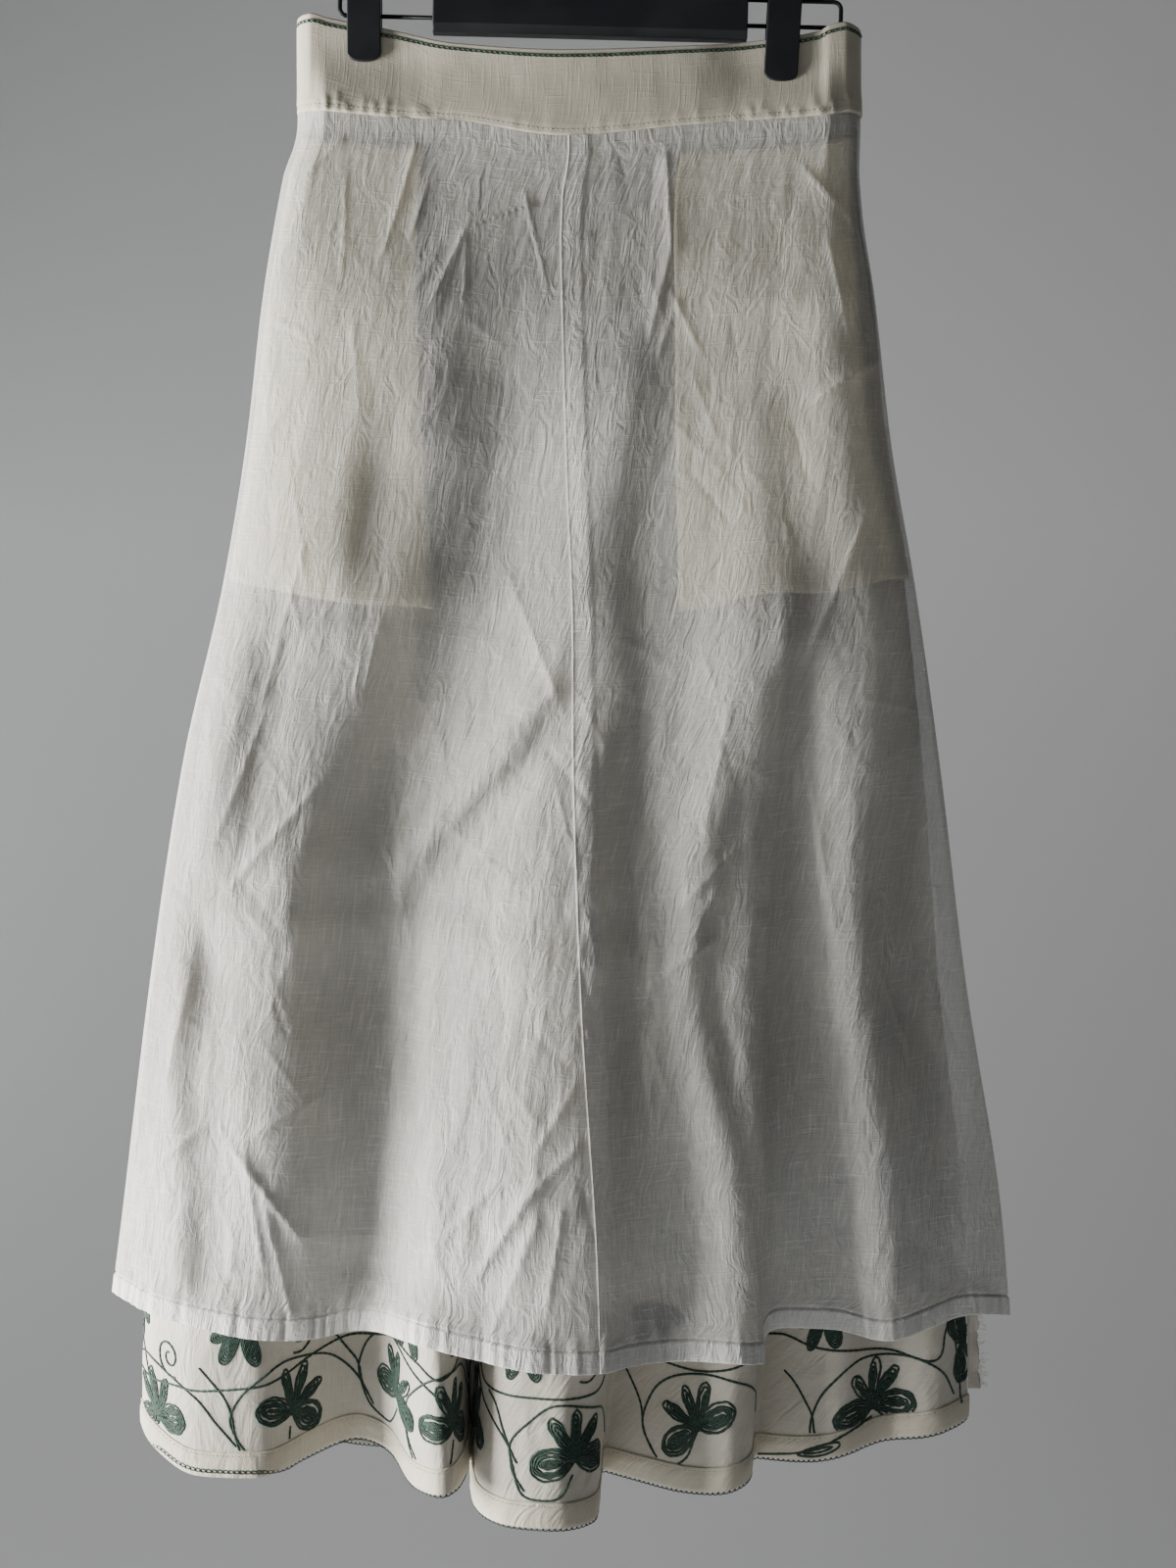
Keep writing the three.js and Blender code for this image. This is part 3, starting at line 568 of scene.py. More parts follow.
def fold_relief(side: Side, points: Array) -> Array:
    """Returns the height of the broad folds, which both hanging layers share.

    It is the sum of the flanks' slopes, gathered up along each row, less the even rise from one side seam to
    the other, so that both seams stay where they are.

    Args:
        side: the half of the loop that the points lie on.
        points: rows of points, each from one side seam to the other.

    Returns:
        The height over the plain layer at each point.
    """
    x, z = points[..., 0], points[..., 2]
    front = side is Side.FRONT
    slope = sum(flank.slope(x, z) for flank in (FRONT_FLANKS if front else BACK_FLANKS))
    step = np.clip((1 if front else -1) * np.diff(x, axis=1), 0, None)
    rise, gone = np.zeros_like(x), np.zeros_like(x)
    rise[:, 1:] = np.cumsum((slope[:, 1:] + slope[:, :-1]) / 2 * step, 1)
    gone[:, 1:] = np.cumsum(step, 1)
    return rise - rise[:, -1:] * gone / gone[:, -1:]


def crease_relief(x: Array, z: Array, creases: Table) -> Array:
    """Returns the creases' height: each falls away from its line as a tent with soft feet.

    The distance is measured to the crease's line, and the height fades towards both of its ends.

    Args:
        x: the cloth's X.
        z: its Z.
        creases: a row for each crease.
    """
    total = np.zeros_like(x)
    for x0, z0, x1, z1, height, width in zip(*creases.columns.values()):
        run = np.array([x1 - x0, z1 - z0])
        length = np.hypot(*run)
        along = ((x - x0) * run[0] + (z - z0) * run[1]) / length**2
        aside = ((x - x0) * run[1] - (z - z0) * run[0]) / length
        beyond = (along - np.clip(along, 0.15, 0.85)) * length
        total += height * np.exp(-np.abs(aside) / width - (beyond / (4 * width)) ** 2)
    return total


def small_creases(seed: int, count: int, low: tuple[float, float], high: tuple[float, float]) -> Table:
    """Returns small creases of uneven length, height and lean, spread over a rectangle.

    Args:
        seed: the seed of the random draws.
        count: how many.
        low: the rectangle's lowest X and Z.
        high: its highest.

    Returns:
        A row for each crease: both ends, its height and its width.
    """
    rng = np.random.default_rng(seed)
    x, z = rng.uniform(low[0], high[0], count), rng.uniform(low[1], high[1], count)
    lean = np.radians(rng.normal(-8, 30, count))
    length = rng.gamma(4, 8, count) + 8
    height = np.minimum(rng.gamma(3, 0.17, count), 0.8) * rng.choice([1, 1, -1], count)
    dx, dz = np.sin(lean) * length / 2, np.cos(lean) * length / 2
    width = rng.uniform(1.2, 2.6, count)
    return Table("x0 z0 x1 z1 height width", np.stack([x - dx, z - dz, x + dx, z + dz, height, width], -1))


@dataclass(frozen=True)
class Puckers:
    """Small puckers along a sewn hem: bells of uneven height at uneven places.

    It holds the seed of the draws, where they start, their pitch, how far each is shifted at most, their
    width, and the least and the greatest height.
    """

    seed: int
    start: float
    pitch: float
    shift: float
    width: float
    heights: tuple[float, float]

    def along(self, run: Array) -> Array:
        """Returns their summed height at each run along the hem."""
        rng = np.random.default_rng(self.seed)
        middles = np.arange(self.start, run[-1], self.pitch)
        middles = middles + rng.uniform(-self.shift, self.shift, len(middles))
        return sum(np.exp(-(((run - middle) / self.width) ** 2)) * rng.uniform(*self.heights)
                   for middle in middles)


# ---------- meshes ----------


class MeshMaker:
    """Gathers points, faces and values of a mesh, and makes an object of them."""

    def __init__(self) -> None:
        """Starts with nothing."""
        self.points: list[Array] = []
        self.faces: list[list[int]] = []
        self.values: dict[str, list[Array]] = {}
        self.count = 0

    def add(self, points: Array, faces: Array, **values: Array) -> None:
        """Adds points in millimetres, the faces between them and one number a point for each value."""
        flat = points.reshape(-1, 3)
        self.points.append(flat)
        self.faces.extend((np.asarray(faces) + self.count).tolist())
        for name, value in values.items():
            self.values.setdefault(name, []).append(np.broadcast_to(value, points.shape[:-1]).ravel())
        self.count += len(flat)

    def add_grid(self, points: Array, **values: Array) -> None:
        """Adds a grid of rows by columns of points, seen from the side where they run right and down."""
        rows, columns = points.shape[:2]
        self.add(points, grid_faces(rows, columns), **values)

    def build(self, name: str, finish: "Finish", replaces: Sequence[str] = ()) -> bpy.types.Object:
        """Makes the object, gives it its finish and lets it ride on the body.

        Args:
            name: the piece's name.
            finish: what it is made of.
            replaces: the solids that it stands for.

        Returns:
            The finished object.
        """
        points = np.concatenate(self.points) * MM
        mesh = bpy.data.meshes.new(name)
        mesh.from_pydata(points.tolist(), [], self.faces)
        mesh.polygons.foreach_set("use_smooth", np.ones(len(self.faces), bool))
        for label, parts in self.values.items():
            layer = mesh.attributes.new(label, "FLOAT", "POINT")
            layer.data.foreach_set("value", np.concatenate(parts).astype(np.float32))
        if {"across", "down"} <= set(self.values):
            corners = np.empty(len(mesh.loops), int)
            mesh.loops.foreach_get("vertex_index", corners)
            both = np.stack([np.concatenate(self.values[k]) for k in ("across", "down")], -1) * MM
            mesh.uv_layers.new(name="cloth").data.foreach_set("uv", both[corners].ravel())
        mesh.update()
        piece = bpy.data.objects.new(name, mesh)
        bpy.context.scene.collection.objects.link(piece)
        return dress(piece, finish, replaces)


def dress(piece: bpy.types.Object, finish: "Finish", replaces: Sequence[str] = ()) -> bpy.types.Object:
    """Gives a piece its finish, lets it ride on the body and stand for its solids.

    Args:
        piece: the object.
        finish: what it is made of.
        replaces: the solids that it stands for.

    Returns:
        The same object.
    """
    piece.data.materials.clear()
    piece.data.materials.append(finish.material())
    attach(piece, BODY)
    if replaces:
        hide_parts(*replaces)
    return piece


def grid_faces(rows: int, columns: int, wrap: bool = False) -> Array:
    """Returns the quads of a grid of points, as rows of four point numbers.

    Args:
        rows: how many rows of points.
        columns: how many columns.
        wrap: whether the last column joins the first.
    """
    i, j = np.meshgrid(np.arange(rows - 1), np.arange(columns if wrap else columns - 1), indexing="ij")
    k = (j + 1) % columns
    quads = [i * columns + j, (i + 1) * columns + j, (i + 1) * columns + k, i * columns + k]
    return np.stack(quads, -1).reshape(-1, 4)


def add_wall(maker: MeshMaker, outer: Array, inner: Array, **values: Array) -> None:
    """Adds a closed wall: two grids, face to face, and the four rims between them.

    Args:
        maker: the mesh to add it to.
        outer: the grid that is seen.
        inner: the grid behind it, of the same size.
        values: one number a point, for both grids alike.
    """
    rows, columns = outer.shape[:2]
    face = grid_faces(rows, columns)
    count = rows * columns
    first, last = np.arange(columns), (rows - 1) * columns + np.arange(columns)
    left, right = np.arange(rows) * columns, np.arange(rows) * columns + columns - 1

    def rim(line: Array, turned: bool) -> Array:
        """Returns the quads from an edge of the outer grid to the same edge of the inner one."""
        a, b = (line[1:], line[:-1]) if turned else (line[:-1], line[1:])
        return np.stack([a, b, b + count, a + count], -1)

    rims = [rim(first, False), rim(last, True), rim(left, True), rim(right, False)]
    both = {name: np.concatenate([np.broadcast_to(v, outer.shape[:2])] * 2) for name, v in values.items()}
    faces = np.concatenate([face, face[:, ::-1] + count, *rims])
    maker.add(np.concatenate([outer, inner]), faces, **both)


def add_tube(maker: MeshMaker, path: Array, normal: Array, radius: Array, sides: int = 5,
             flat: float = 0.75) -> None:
    """Adds a thread or wire: a flattened ring carried along a path, with closed ends.

    Args:
        maker: the mesh to add it to.
        path: its points.
        normal: the way out of the cloth at each point.
        radius: its radius, one number or one for each point.
        sides: how many sides the ring has.
        flat: its height as a share of its width.
    """
    along = unit(np.gradient(path, axis=0))
    aside = unit(np.cross(along, normal))
    up = np.cross(aside, along)
    turn = np.arange(sides) * 2 * math.pi / sides
    wide = np.broadcast_to(radius, len(path))[:, None, None]
    ring = np.cos(turn)[:, None] * aside[:, None] + flat * np.sin(turn)[:, None] * up[:, None]
    rings = path[:, None] + wide * ring
    run = run_along(path, 0)
    start = maker.count
    maker.add(rings, grid_faces(len(path), sides, wrap=True)[:, ::-1], along=run[:, None])
    ends = (np.arange(sides), (len(path) - 1) * sides + np.arange(sides)[::-1])
    maker.faces.extend((end + start).tolist() for end in ends)


def add_links(maker: MeshMaker, path: Array, normal: Array, pitch: float, width: float,
              radius: float) -> None:
    """Adds a chain stitch along a path: each link a drawn-out ring of thread that starts in the last one.

    Args:
        maker: the mesh to add it to.
        path: the line that the chain follows.
        normal: the way out of the cloth at each of its points.
        pitch: the distance from link to link.
        width: a link's width.
        radius: the thread's radius.
    """
    run = run_along(path, 0)
    places = np.arange(pitch / 2, run[-1], pitch)
    centre, out = at_runs(places, run, path), at_runs(places, run, normal)
    along = unit(np.gradient(centre, axis=0))
    aside = np.cross(along, out)
    around, sides = 10, 4
    a = np.arange(around) * 2 * math.pi / around
    b = np.arange(sides) * 2 * math.pi / sides
    reach = 0.62 * pitch * np.cos(a)
    spread = 0.5 * width * np.sin(a) * (1 - 0.35 * np.cos(a))
    middle = centre[:, None] + reach[:, None] * along[:, None] + spread[:, None] * aside[:, None]
    away = np.cos(a)[:, None] * along[:, None] + np.sin(a)[:, None] * aside[:, None]
    rings = middle[:, :, None] + radius * (
        np.cos(b)[:, None] * away[:, :, None] + np.sin(b)[:, None] * out[:, None, None])
    i, j = np.meshgrid(np.arange(around), np.arange(sides), indexing="ij")
    quads = np.stack([i * sides + j, ((i + 1) % around) * sides + j,
                      ((i + 1) % around) * sides + (j + 1) % sides, i * sides + (j + 1) % sides], -1)
    starts = np.arange(len(places))[:, None, None] * around * sides
    maker.add(rings, (quads.reshape(1, -1, 4) + starts).reshape(-1, 4), along=places[:, None, None])


def add_stitches(maker: MeshMaker, path: Array, normal: Array, length: float, pitch: float,
                 radius: float) -> None:
    """Adds a line of straight stitches: short threads along a path, each dipping in at both ends.

    Args:
        maker: the mesh to add them to.
        path: the line that they follow.
        normal: the way out of the cloth at each of its points.
        length: a stitch's length.
        pitch: the distance from stitch to stitch.
        radius: the thread's radius.
    """
    run = run_along(path, 0)
    starts = np.arange(0, run[-1] - length, pitch)
    steps = np.linspace(0, 1, 5)
    places = starts[:, None] + steps * length
    points, out = at_runs(places, run, path), at_runs(places, run, normal)
    along = unit(np.gradient(points, axis=1))
    aside = np.cross(along, out)
    sides = 4
    turn = np.arange(sides) * 2 * math.pi / sides
    arch = np.sin(math.pi * steps)
    middle = points + out * (radius * (1.2 * arch - 0.6))[:, None]
    wide = (radius * (0.35 + 0.65 * arch))[:, None, None]
    rings = middle[:, :, None] + wide * (np.cos(turn)[:, None] * aside[:, :, None]
                                         + np.sin(turn)[:, None] * out[:, :, None])
    quads = grid_faces(len(steps), sides, wrap=True)[:, ::-1]
    caps = np.array([[0, 1, 2, 3], [19, 18, 17, 16]])
    shape = np.concatenate([quads, caps])
    offset = np.arange(len(starts))[:, None, None] * len(steps) * sides
    maker.add(rings, (shape[None] + offset).reshape(-1, 4), along=places[..., None])


# ---------- finishes ----------


class Nodes:
    """A short way to add nodes to a tree and to link them.

    Args:
        tree: the node tree to write in.
    """

    def __init__(self, tree: bpy.types.NodeTree) -> None:
        """Keeps the tree."""
        self.tree = tree

    def add(self, kind: str, inputs: dict | None = None, **settings: object) -> bpy.types.Node:
        """Adds a node, sets its settings, and sets or links each of its named or numbered inputs."""
        node = self.tree.nodes.new(kind)
        for name, value in settings.items():
            setattr(node, name, value)
        for name, value in (inputs or {}).items():
            if isinstance(value, bpy.types.NodeSocket):
                self.tree.links.new(value, node.inputs[name])
            else:
                node.inputs[name].default_value = value
        return node

    def placed(self, group: bpy.types.NodeTree, inputs: dict) -> bpy.types.Node:
        """Adds a group node, and then sets or links its inputs."""
        node = self.add("ShaderNodeGroup", node_tree=group)
        for name, value in inputs.items():
            if isinstance(value, bpy.types.NodeSocket):
                self.tree.links.new(value, node.inputs[name])
            else:
                node.inputs[name].default_value = value
        return node

    def attribute(self, name: str) -> bpy.types.NodeSocket:
        """Returns a value that the mesh carries at its points."""
        return self.add("ShaderNodeAttribute", attribute_name=name).outputs["Fac"]

    def math(self, operation: str, a: object, b: object = 0.0, clamp: bool = False) -> bpy.types.NodeSocket:
        """Adds a Math node and returns its output."""
        return self.add("ShaderNodeMath", {0: a, 1: b}, operation=operation, use_clamp=clamp).outputs[0]

    def stretch(self, vector: object, factors: Sequence[object]) -> bpy.types.NodeSocket:
        """Returns a vector with each of its parts multiplied by its own factor."""
        scale = self.add("ShaderNodeCombineXYZ", dict(enumerate(factors))).outputs[0]
        return self.add("ShaderNodeVectorMath", {0: vector, 1: scale}, operation="MULTIPLY").outputs[0]

    def noise(self, vector: object, scale: float, detail: float = 2.0, rough: float = 0.5,
              distortion: float = 0.0) -> bpy.types.NodeSocket:
        """Adds a noise texture and returns its grey output."""
        inputs = {"Vector": vector, "Scale": scale, "Detail": detail, "Roughness": rough,
                  "Distortion": distortion}
        return self.add("ShaderNodeTexNoise", inputs).outputs[0]

    def mix(self, share: object, a: object, b: object) -> bpy.types.NodeSocket:
        """Adds a colour mix and returns its output."""
        return self.add("ShaderNodeMix", {0: share, 6: a, 7: b}, data_type="RGBA").outputs[2]

    def scaled(self, colour: object, factor: object) -> bpy.types.NodeSocket:
        """Returns a colour times a number."""
        return self.add("ShaderNodeVectorMath", {0: colour, "Scale": factor}, operation="SCALE").outputs[0]

    def range(self, value: object, low: float, high: float, to_low: float = 0.0,
              to_high: float = 1.0) -> bpy.types.NodeSocket:
        """Maps a value from one range to another and returns it."""
        return self.add("ShaderNodeMapRange", {0: value, 1: low, 2: high, 3: to_low, 4: to_high}).outputs[0]


def node_group(name: str, inputs: dict[str, str], outputs: Sequence[str],
               fill: Callable[[Nodes, dict], dict]) -> bpy.types.NodeTree:
    """Builds a shader node group once and returns it ever after.

    Args:
        name: the group's name.
        inputs: its inputs' names and socket kinds.
        outputs: the names of its outputs, all of them numbers.
        fill: adds the nodes; takes the input sockets by name and returns the output sockets by name.

    Returns:
        The group's tree.
    """
    if name in bpy.data.node_groups:
        return bpy.data.node_groups[name]
    tree = bpy.data.node_groups.new(name, "ShaderNodeTree")
    for label, kind in inputs.items():
        tree.interface.new_socket(label, in_out="INPUT", socket_type=kind)
    for label in outputs:
        tree.interface.new_socket(label, in_out="OUTPUT", socket_type="NodeSocketFloat")
    start, end = tree.nodes.new("NodeGroupInput"), tree.nodes.new("NodeGroupOutput")
    made = fill(Nodes(tree), {label: start.outputs[label] for label in inputs})
    for label, socket in made.items():
        tree.links.new(socket, end.inputs[label])
    return tree


def weave_group() -> bpy.types.NodeTree:
    """Returns the plain weave: uneven threads both ways, a mask of the thick ones, and sparse slubs."""

    def fill(nodes: Nodes, given: dict) -> dict:
        """Noises drawn out down the cloth and across it: averaged for the threads, cut off for the slubs."""
        fine, coarse = given["Threads"], nodes.math("MULTIPLY", given["Threads"], 0.045)
        warp = nodes.noise(nodes.stretch(given["Vector"], (fine, coarse, 1.0)), 1.0, 2.0, 0.6)
        weft = nodes.noise(nodes.stretch(given["Vector"], (coarse, fine, 1.0)), 1.0, 2.0, 0.6)
        height = nodes.math("MULTIPLY", nodes.math("ADD", warp, weft), 0.5)
        down = nodes.noise(nodes.stretch(given["Vector"], (620.0, 34.0, 1.0)), 1.0, 3.0, 0.6)
        over = nodes.noise(nodes.stretch(given["Vector"], (38.0, 560.0, 1.0)), 1.0, 3.0, 0.6)
        slubs = nodes.math("ADD", nodes.range(down, 0.5, 0.72), nodes.range(over, 0.54, 0.76), clamp=True)
        return {"Height": height, "Mask": nodes.range(height, 0.38, 0.62), "Slubs": slubs}

    inputs = {"Vector": "NodeSocketVector", "Threads": "NodeSocketFloat"}
    return node_group("plain weave", inputs, ("Height", "Mask", "Slubs"), fill)


def wrinkle_group() -> bpy.types.NodeTree:
    """Returns fine wrinkles: noise folded about its middle, so that it has sharp crests."""

    def fill(nodes: Nodes, given: dict) -> dict:
        """One less the folded noise, on a vector drawn out down the cloth."""
        down = nodes.math("MULTIPLY", given["Scale"], 0.42)
        vector = nodes.stretch(given["Vector"], (given["Scale"], down, 1.0))
        folded = nodes.math("ABSOLUTE", nodes.math("SUBTRACT", nodes.noise(vector, 1.0, 3.0, 0.55, 0.8), 0.5))
        return {"Height": nodes.math("SUBTRACT", 1.0, nodes.math("MULTIPLY", folded, 4.0), clamp=True)}

    inputs = {"Vector": "NodeSocketVector", "Scale": "NodeSocketFloat"}
    return node_group("fine wrinkles", inputs, ("Height",), fill)


def mottle_group() -> bpy.types.NodeTree:
    """Returns a soft mottle: noise, spread between two levels."""

    def fill(nodes: Nodes, given: dict) -> dict:
        """Noise with some detail, drawn out down the cloth, its middle spread over the whole range."""
        down = nodes.math("MULTIPLY", given["Scale"], 0.4)
        vector = nodes.stretch(given["Vector"], (given["Scale"], down, 1.0))
        return {"Mask": nodes.range(nodes.noise(vector, 1.0, 4.0, 0.55), 0.35, 0.68)}

    inputs = {"Vector": "NodeSocketVector", "Scale": "NodeSocketFloat"}
    return node_group("mottle", inputs, ("Mask",), fill)


@dataclass(frozen=True)
class Finish:
    """What a piece is made of: its name, its slot in the record and its colours."""

    name: str
    slot: str
    light: Colour
    dark: Colour
    roughness: float = 0.9

    def material(self) -> bpy.types.Material:
        """Returns the finish's material, built on its first use."""
        found = bpy.data.materials.get(self.name)
        if found:
            return found
        made = bpy.data.materials.new(self.name)
        made.use_nodes = True
        made.node_tree.nodes.clear()
        nodes = Nodes(made.node_tree)
        shader = nodes.add("ShaderNodeBsdfPrincipled", {"Roughness": self.roughness})
        nodes.add("ShaderNodeOutputMaterial", {"Surface": shader.outputs[0]})
        self.fill(nodes, shader)
        return made

    def fill(self, nodes: Nodes, shader: bpy.types.Node) -> None:
        """Adds the finish's own nodes; each kind of finish has its own."""
        raise NotImplementedError

    @staticmethod
    def colour(rgb: Colour) -> tuple[float, float, float, float]:
        """Returns a colour with its fourth number."""
        return (*rgb, 1.0)


@dataclass(frozen=True)
class ClothFinish(Finish):
    """Woven cotton: weave, fine wrinkles and mottle, and cover less than 1 where light passes. On the skirt,
    a low cover instead gives a painted shade.
    """

    threads: float = 2600.0
    weave_depth: float = 0.00012
    wrinkle_scale: float = 90.0
    wrinkle_depth: float = 0.0005
    mottle_scale: float = 9.0
    slubs: float = 0.06
    sheen: float = 0.15
    sheer: bool = False
    hem_tint: Colour | None = None
    painted_gap_shade: Colour | None = None
    double_tint: Colour | None = None

    def fill(self, nodes: Nodes, shader: bpy.types.Node) -> None:
        """Links colour, bump and, on sheer cloth, alpha, which the cover attribute and weave give. A low
        cover on the skirt paints shade.
        """
        place = nodes.add("ShaderNodeUVMap", uv_map="cloth").outputs[0]
        weave = nodes.placed(weave_group(), {"Vector": place, "Threads": self.threads})
        wrinkles = nodes.placed(wrinkle_group(), {"Vector": place, "Scale": self.wrinkle_scale})
        mottle = nodes.placed(mottle_group(), {"Vector": place, "Scale": self.mottle_scale})
        shade = nodes.math("ADD", nodes.math("MULTIPLY", weave.outputs["Mask"], 0.45),
                           nodes.math("MULTIPLY", mottle.outputs["Mask"], 0.55))
        colour = nodes.mix(shade, self.colour(self.dark), self.colour(self.light))
        if self.hem_tint:
            hem = nodes.attribute("cover")
            colour = nodes.mix(nodes.range(hem, 0.62, 0.9), colour, self.colour(self.hem_tint))
            # Painted shade: a low cover marks the skirt hidden behind the lining, and there the colour turns
            # to the dark tint of the gap's shade.
            colour = nodes.mix(nodes.range(hem, 0.1, 0.5), self.colour(self.painted_gap_shade), colour)
        if self.double_tint:
            double = nodes.attribute("cover")
            colour = nodes.mix(nodes.range(double, 0.9, 0.98), colour, self.colour(self.double_tint))
        paler = nodes.range(weave.outputs["Slubs"], 0, 1, 1 - self.slubs, 1 + 0.6 * self.slubs)
        colour = nodes.scaled(colour, paler)
        nodes.tree.links.new(colour, shader.inputs["Base Color"])
        shader.inputs["Sheen Weight"].default_value = self.sheen
        shader.inputs["Sheen Roughness"].default_value = 0.6
        shader.inputs["Specular IOR Level"].default_value = 0.2
        deep = nodes.add("ShaderNodeBump", {"Height": wrinkles.outputs["Height"], "Strength": 1.0,
                                            "Distance": self.wrinkle_depth}).outputs[0]
        both = nodes.math("ADD", weave.outputs["Height"], nodes.math("MULTIPLY", weave.outputs["Slubs"], 0.8))
        bump = nodes.add("ShaderNodeBump", {"Height": both, "Strength": 1.0,
                                            "Distance": self.weave_depth, "Normal": deep}).outputs[0]
        nodes.tree.links.new(bump, shader.inputs["Normal"])
        if self.sheer:
            cover = nodes.attribute("cover")
            uneven = nodes.math("ADD", nodes.range(weave.outputs["Mask"], 0, 1, 0.88, 1.06),
                                nodes.math("MULTIPLY", weave.outputs["Slubs"], 0.16))
            nodes.tree.links.new(nodes.math("MULTIPLY", cover, uneven, clamp=True), shader.inputs["Alpha"])


@dataclass(frozen=True)
class ThreadFinish(Finish):
    """Spun thread: a twist along it, and painted shade at the dip between stitches."""

    twist: float = 1.1
    stitch: float = 4.2

    def fill(self, nodes: Nodes, shader: bpy.types.Node) -> None:
        """Links the colour and the bump, both from the run along the thread. The colour holds painted shade
        at each dip, patchy by noise.
        """
        run = nodes.attribute("along")
        ply = nodes.math("SINE", nodes.math("MULTIPLY", run, 2 * math.pi / self.twist))
        dip = nodes.math("SINE", nodes.math("MULTIPLY", run, math.pi / self.stitch))
        place = nodes.add("ShaderNodeTexCoord").outputs["Object"]
        patchy = nodes.noise(place, 180.0, 2.0)
        # Painted shade: the colour turns to the dark tint at each dip into the cloth, and in random patches.
        lit = nodes.math("MULTIPLY", nodes.math("ABSOLUTE", dip), patchy)
        colour = nodes.mix(nodes.range(lit, 0.05, 0.6), self.colour(self.dark), self.colour(self.light))
        nodes.tree.links.new(colour, shader.inputs["Base Color"])
        shader.inputs["Sheen Weight"].default_value = 0.2
        bump = nodes.add("ShaderNodeBump", {"Height": ply, "Strength": 0.6, "Distance": 0.0001}).outputs[0]
        nodes.tree.links.new(bump, shader.inputs["Normal"])


@dataclass(frozen=True)
class HardFinish(Finish):
    """Moulded plastic or lacquered wire: a fine grain and faint smears."""

    metallic: float = 0.0
    grain: float = 1400.0

    def fill(self, nodes: Nodes, shader: bpy.types.Node) -> None:
        """Links the colour, the roughness and a fine bump, all from the place on the piece."""
        place = nodes.add("ShaderNodeTexCoord").outputs["Object"]
        smear = nodes.noise(place, 22.0, 3.0, 0.6)
        fine = nodes.noise(place, self.grain, 1.0)
        colour = nodes.mix(nodes.range(smear, 0.4, 0.7), self.colour(self.dark), self.colour(self.light))
        nodes.tree.links.new(colour, shader.inputs["Base Color"])
        low, high = self.roughness - 0.08, self.roughness + 0.1
        nodes.tree.links.new(nodes.range(smear, 0.3, 0.7, low, high), shader.inputs["Roughness"])
        shader.inputs["Metallic"].default_value = self.metallic
        bump = nodes.add("ShaderNodeBump", {"Height": fine, "Strength": 0.35, "Distance": 0.0001}).outputs[0]
        nodes.tree.links.new(bump, shader.inputs["Normal"])


VOILE = ClothFinish("white voile", "lining", (0.93, 0.905, 0.84), (0.77, 0.775, 0.755), threads=1300,
                    weave_depth=0.0003, wrinkle_scale=90, wrinkle_depth=0.0006, mottle_scale=42, slubs=0.1,
                    sheen=0.1, sheer=True, double_tint=(0.97, 0.96, 0.92))
# The cream cotton's darkest tint is painted shade, laid where the skirt hangs hidden behind the lining.
SKIRT_COTTON = ClothFinish("cream cotton", "skirt", (0.76, 0.72, 0.63), (0.66, 0.62, 0.54), threads=1500,
                           wrinkle_scale=60, wrinkle_depth=0.0005, hem_tint=(0.74, 0.68, 0.55),
                           painted_gap_shade=(0.42, 0.395, 0.34))
BAND_COTTON = ClothFinish("waistband cotton", "band", (0.72, 0.67, 0.55), (0.64, 0.585, 0.465), threads=1500,
                          wrinkle_scale=40, wrinkle_depth=0.00008, mottle_scale=90, slubs=0.04)
POCKET_COTTON = ClothFinish("pocket cotton", "pocket", (0.88, 0.81, 0.62), (0.82, 0.74, 0.55), threads=1800,
                            wrinkle_scale=50, wrinkle_depth=0.0004)
# A thread's dark tint is partly painted shade at its dips and partly random patchiness.
GREEN_THREAD = ThreadFinish("green embroidery thread", "skirt", (0.018, 0.075, 0.046), (0.005, 0.022, 0.014),
                            roughness=0.7)
BAND_GREEN = ThreadFinish("green chain thread", "band", (0.026, 0.10, 0.058), (0.006, 0.026, 0.016),
                          roughness=0.7)
WHITE_THREAD = ThreadFinish("white sewing thread", "lining", (0.82, 0.82, 0.79), (0.55, 0.55, 0.53))
CREAM_THREAD = ThreadFinish("cream sewing thread", "skirt", (0.74, 0.70, 0.60), (0.46, 0.42, 0.33))
PLASTIC = HardFinish("black plastic", "black_plastic", (0.012, 0.014, 0.018), (0.006, 0.008, 0.011),
                     roughness=0.48)
WIRE = HardFinish("black wire", "black_wire", (0.02, 0.02, 0.023), (0.01, 0.01, 0.012), roughness=0.38,
                  metallic=0.5)


# ---------- the pieces ----------


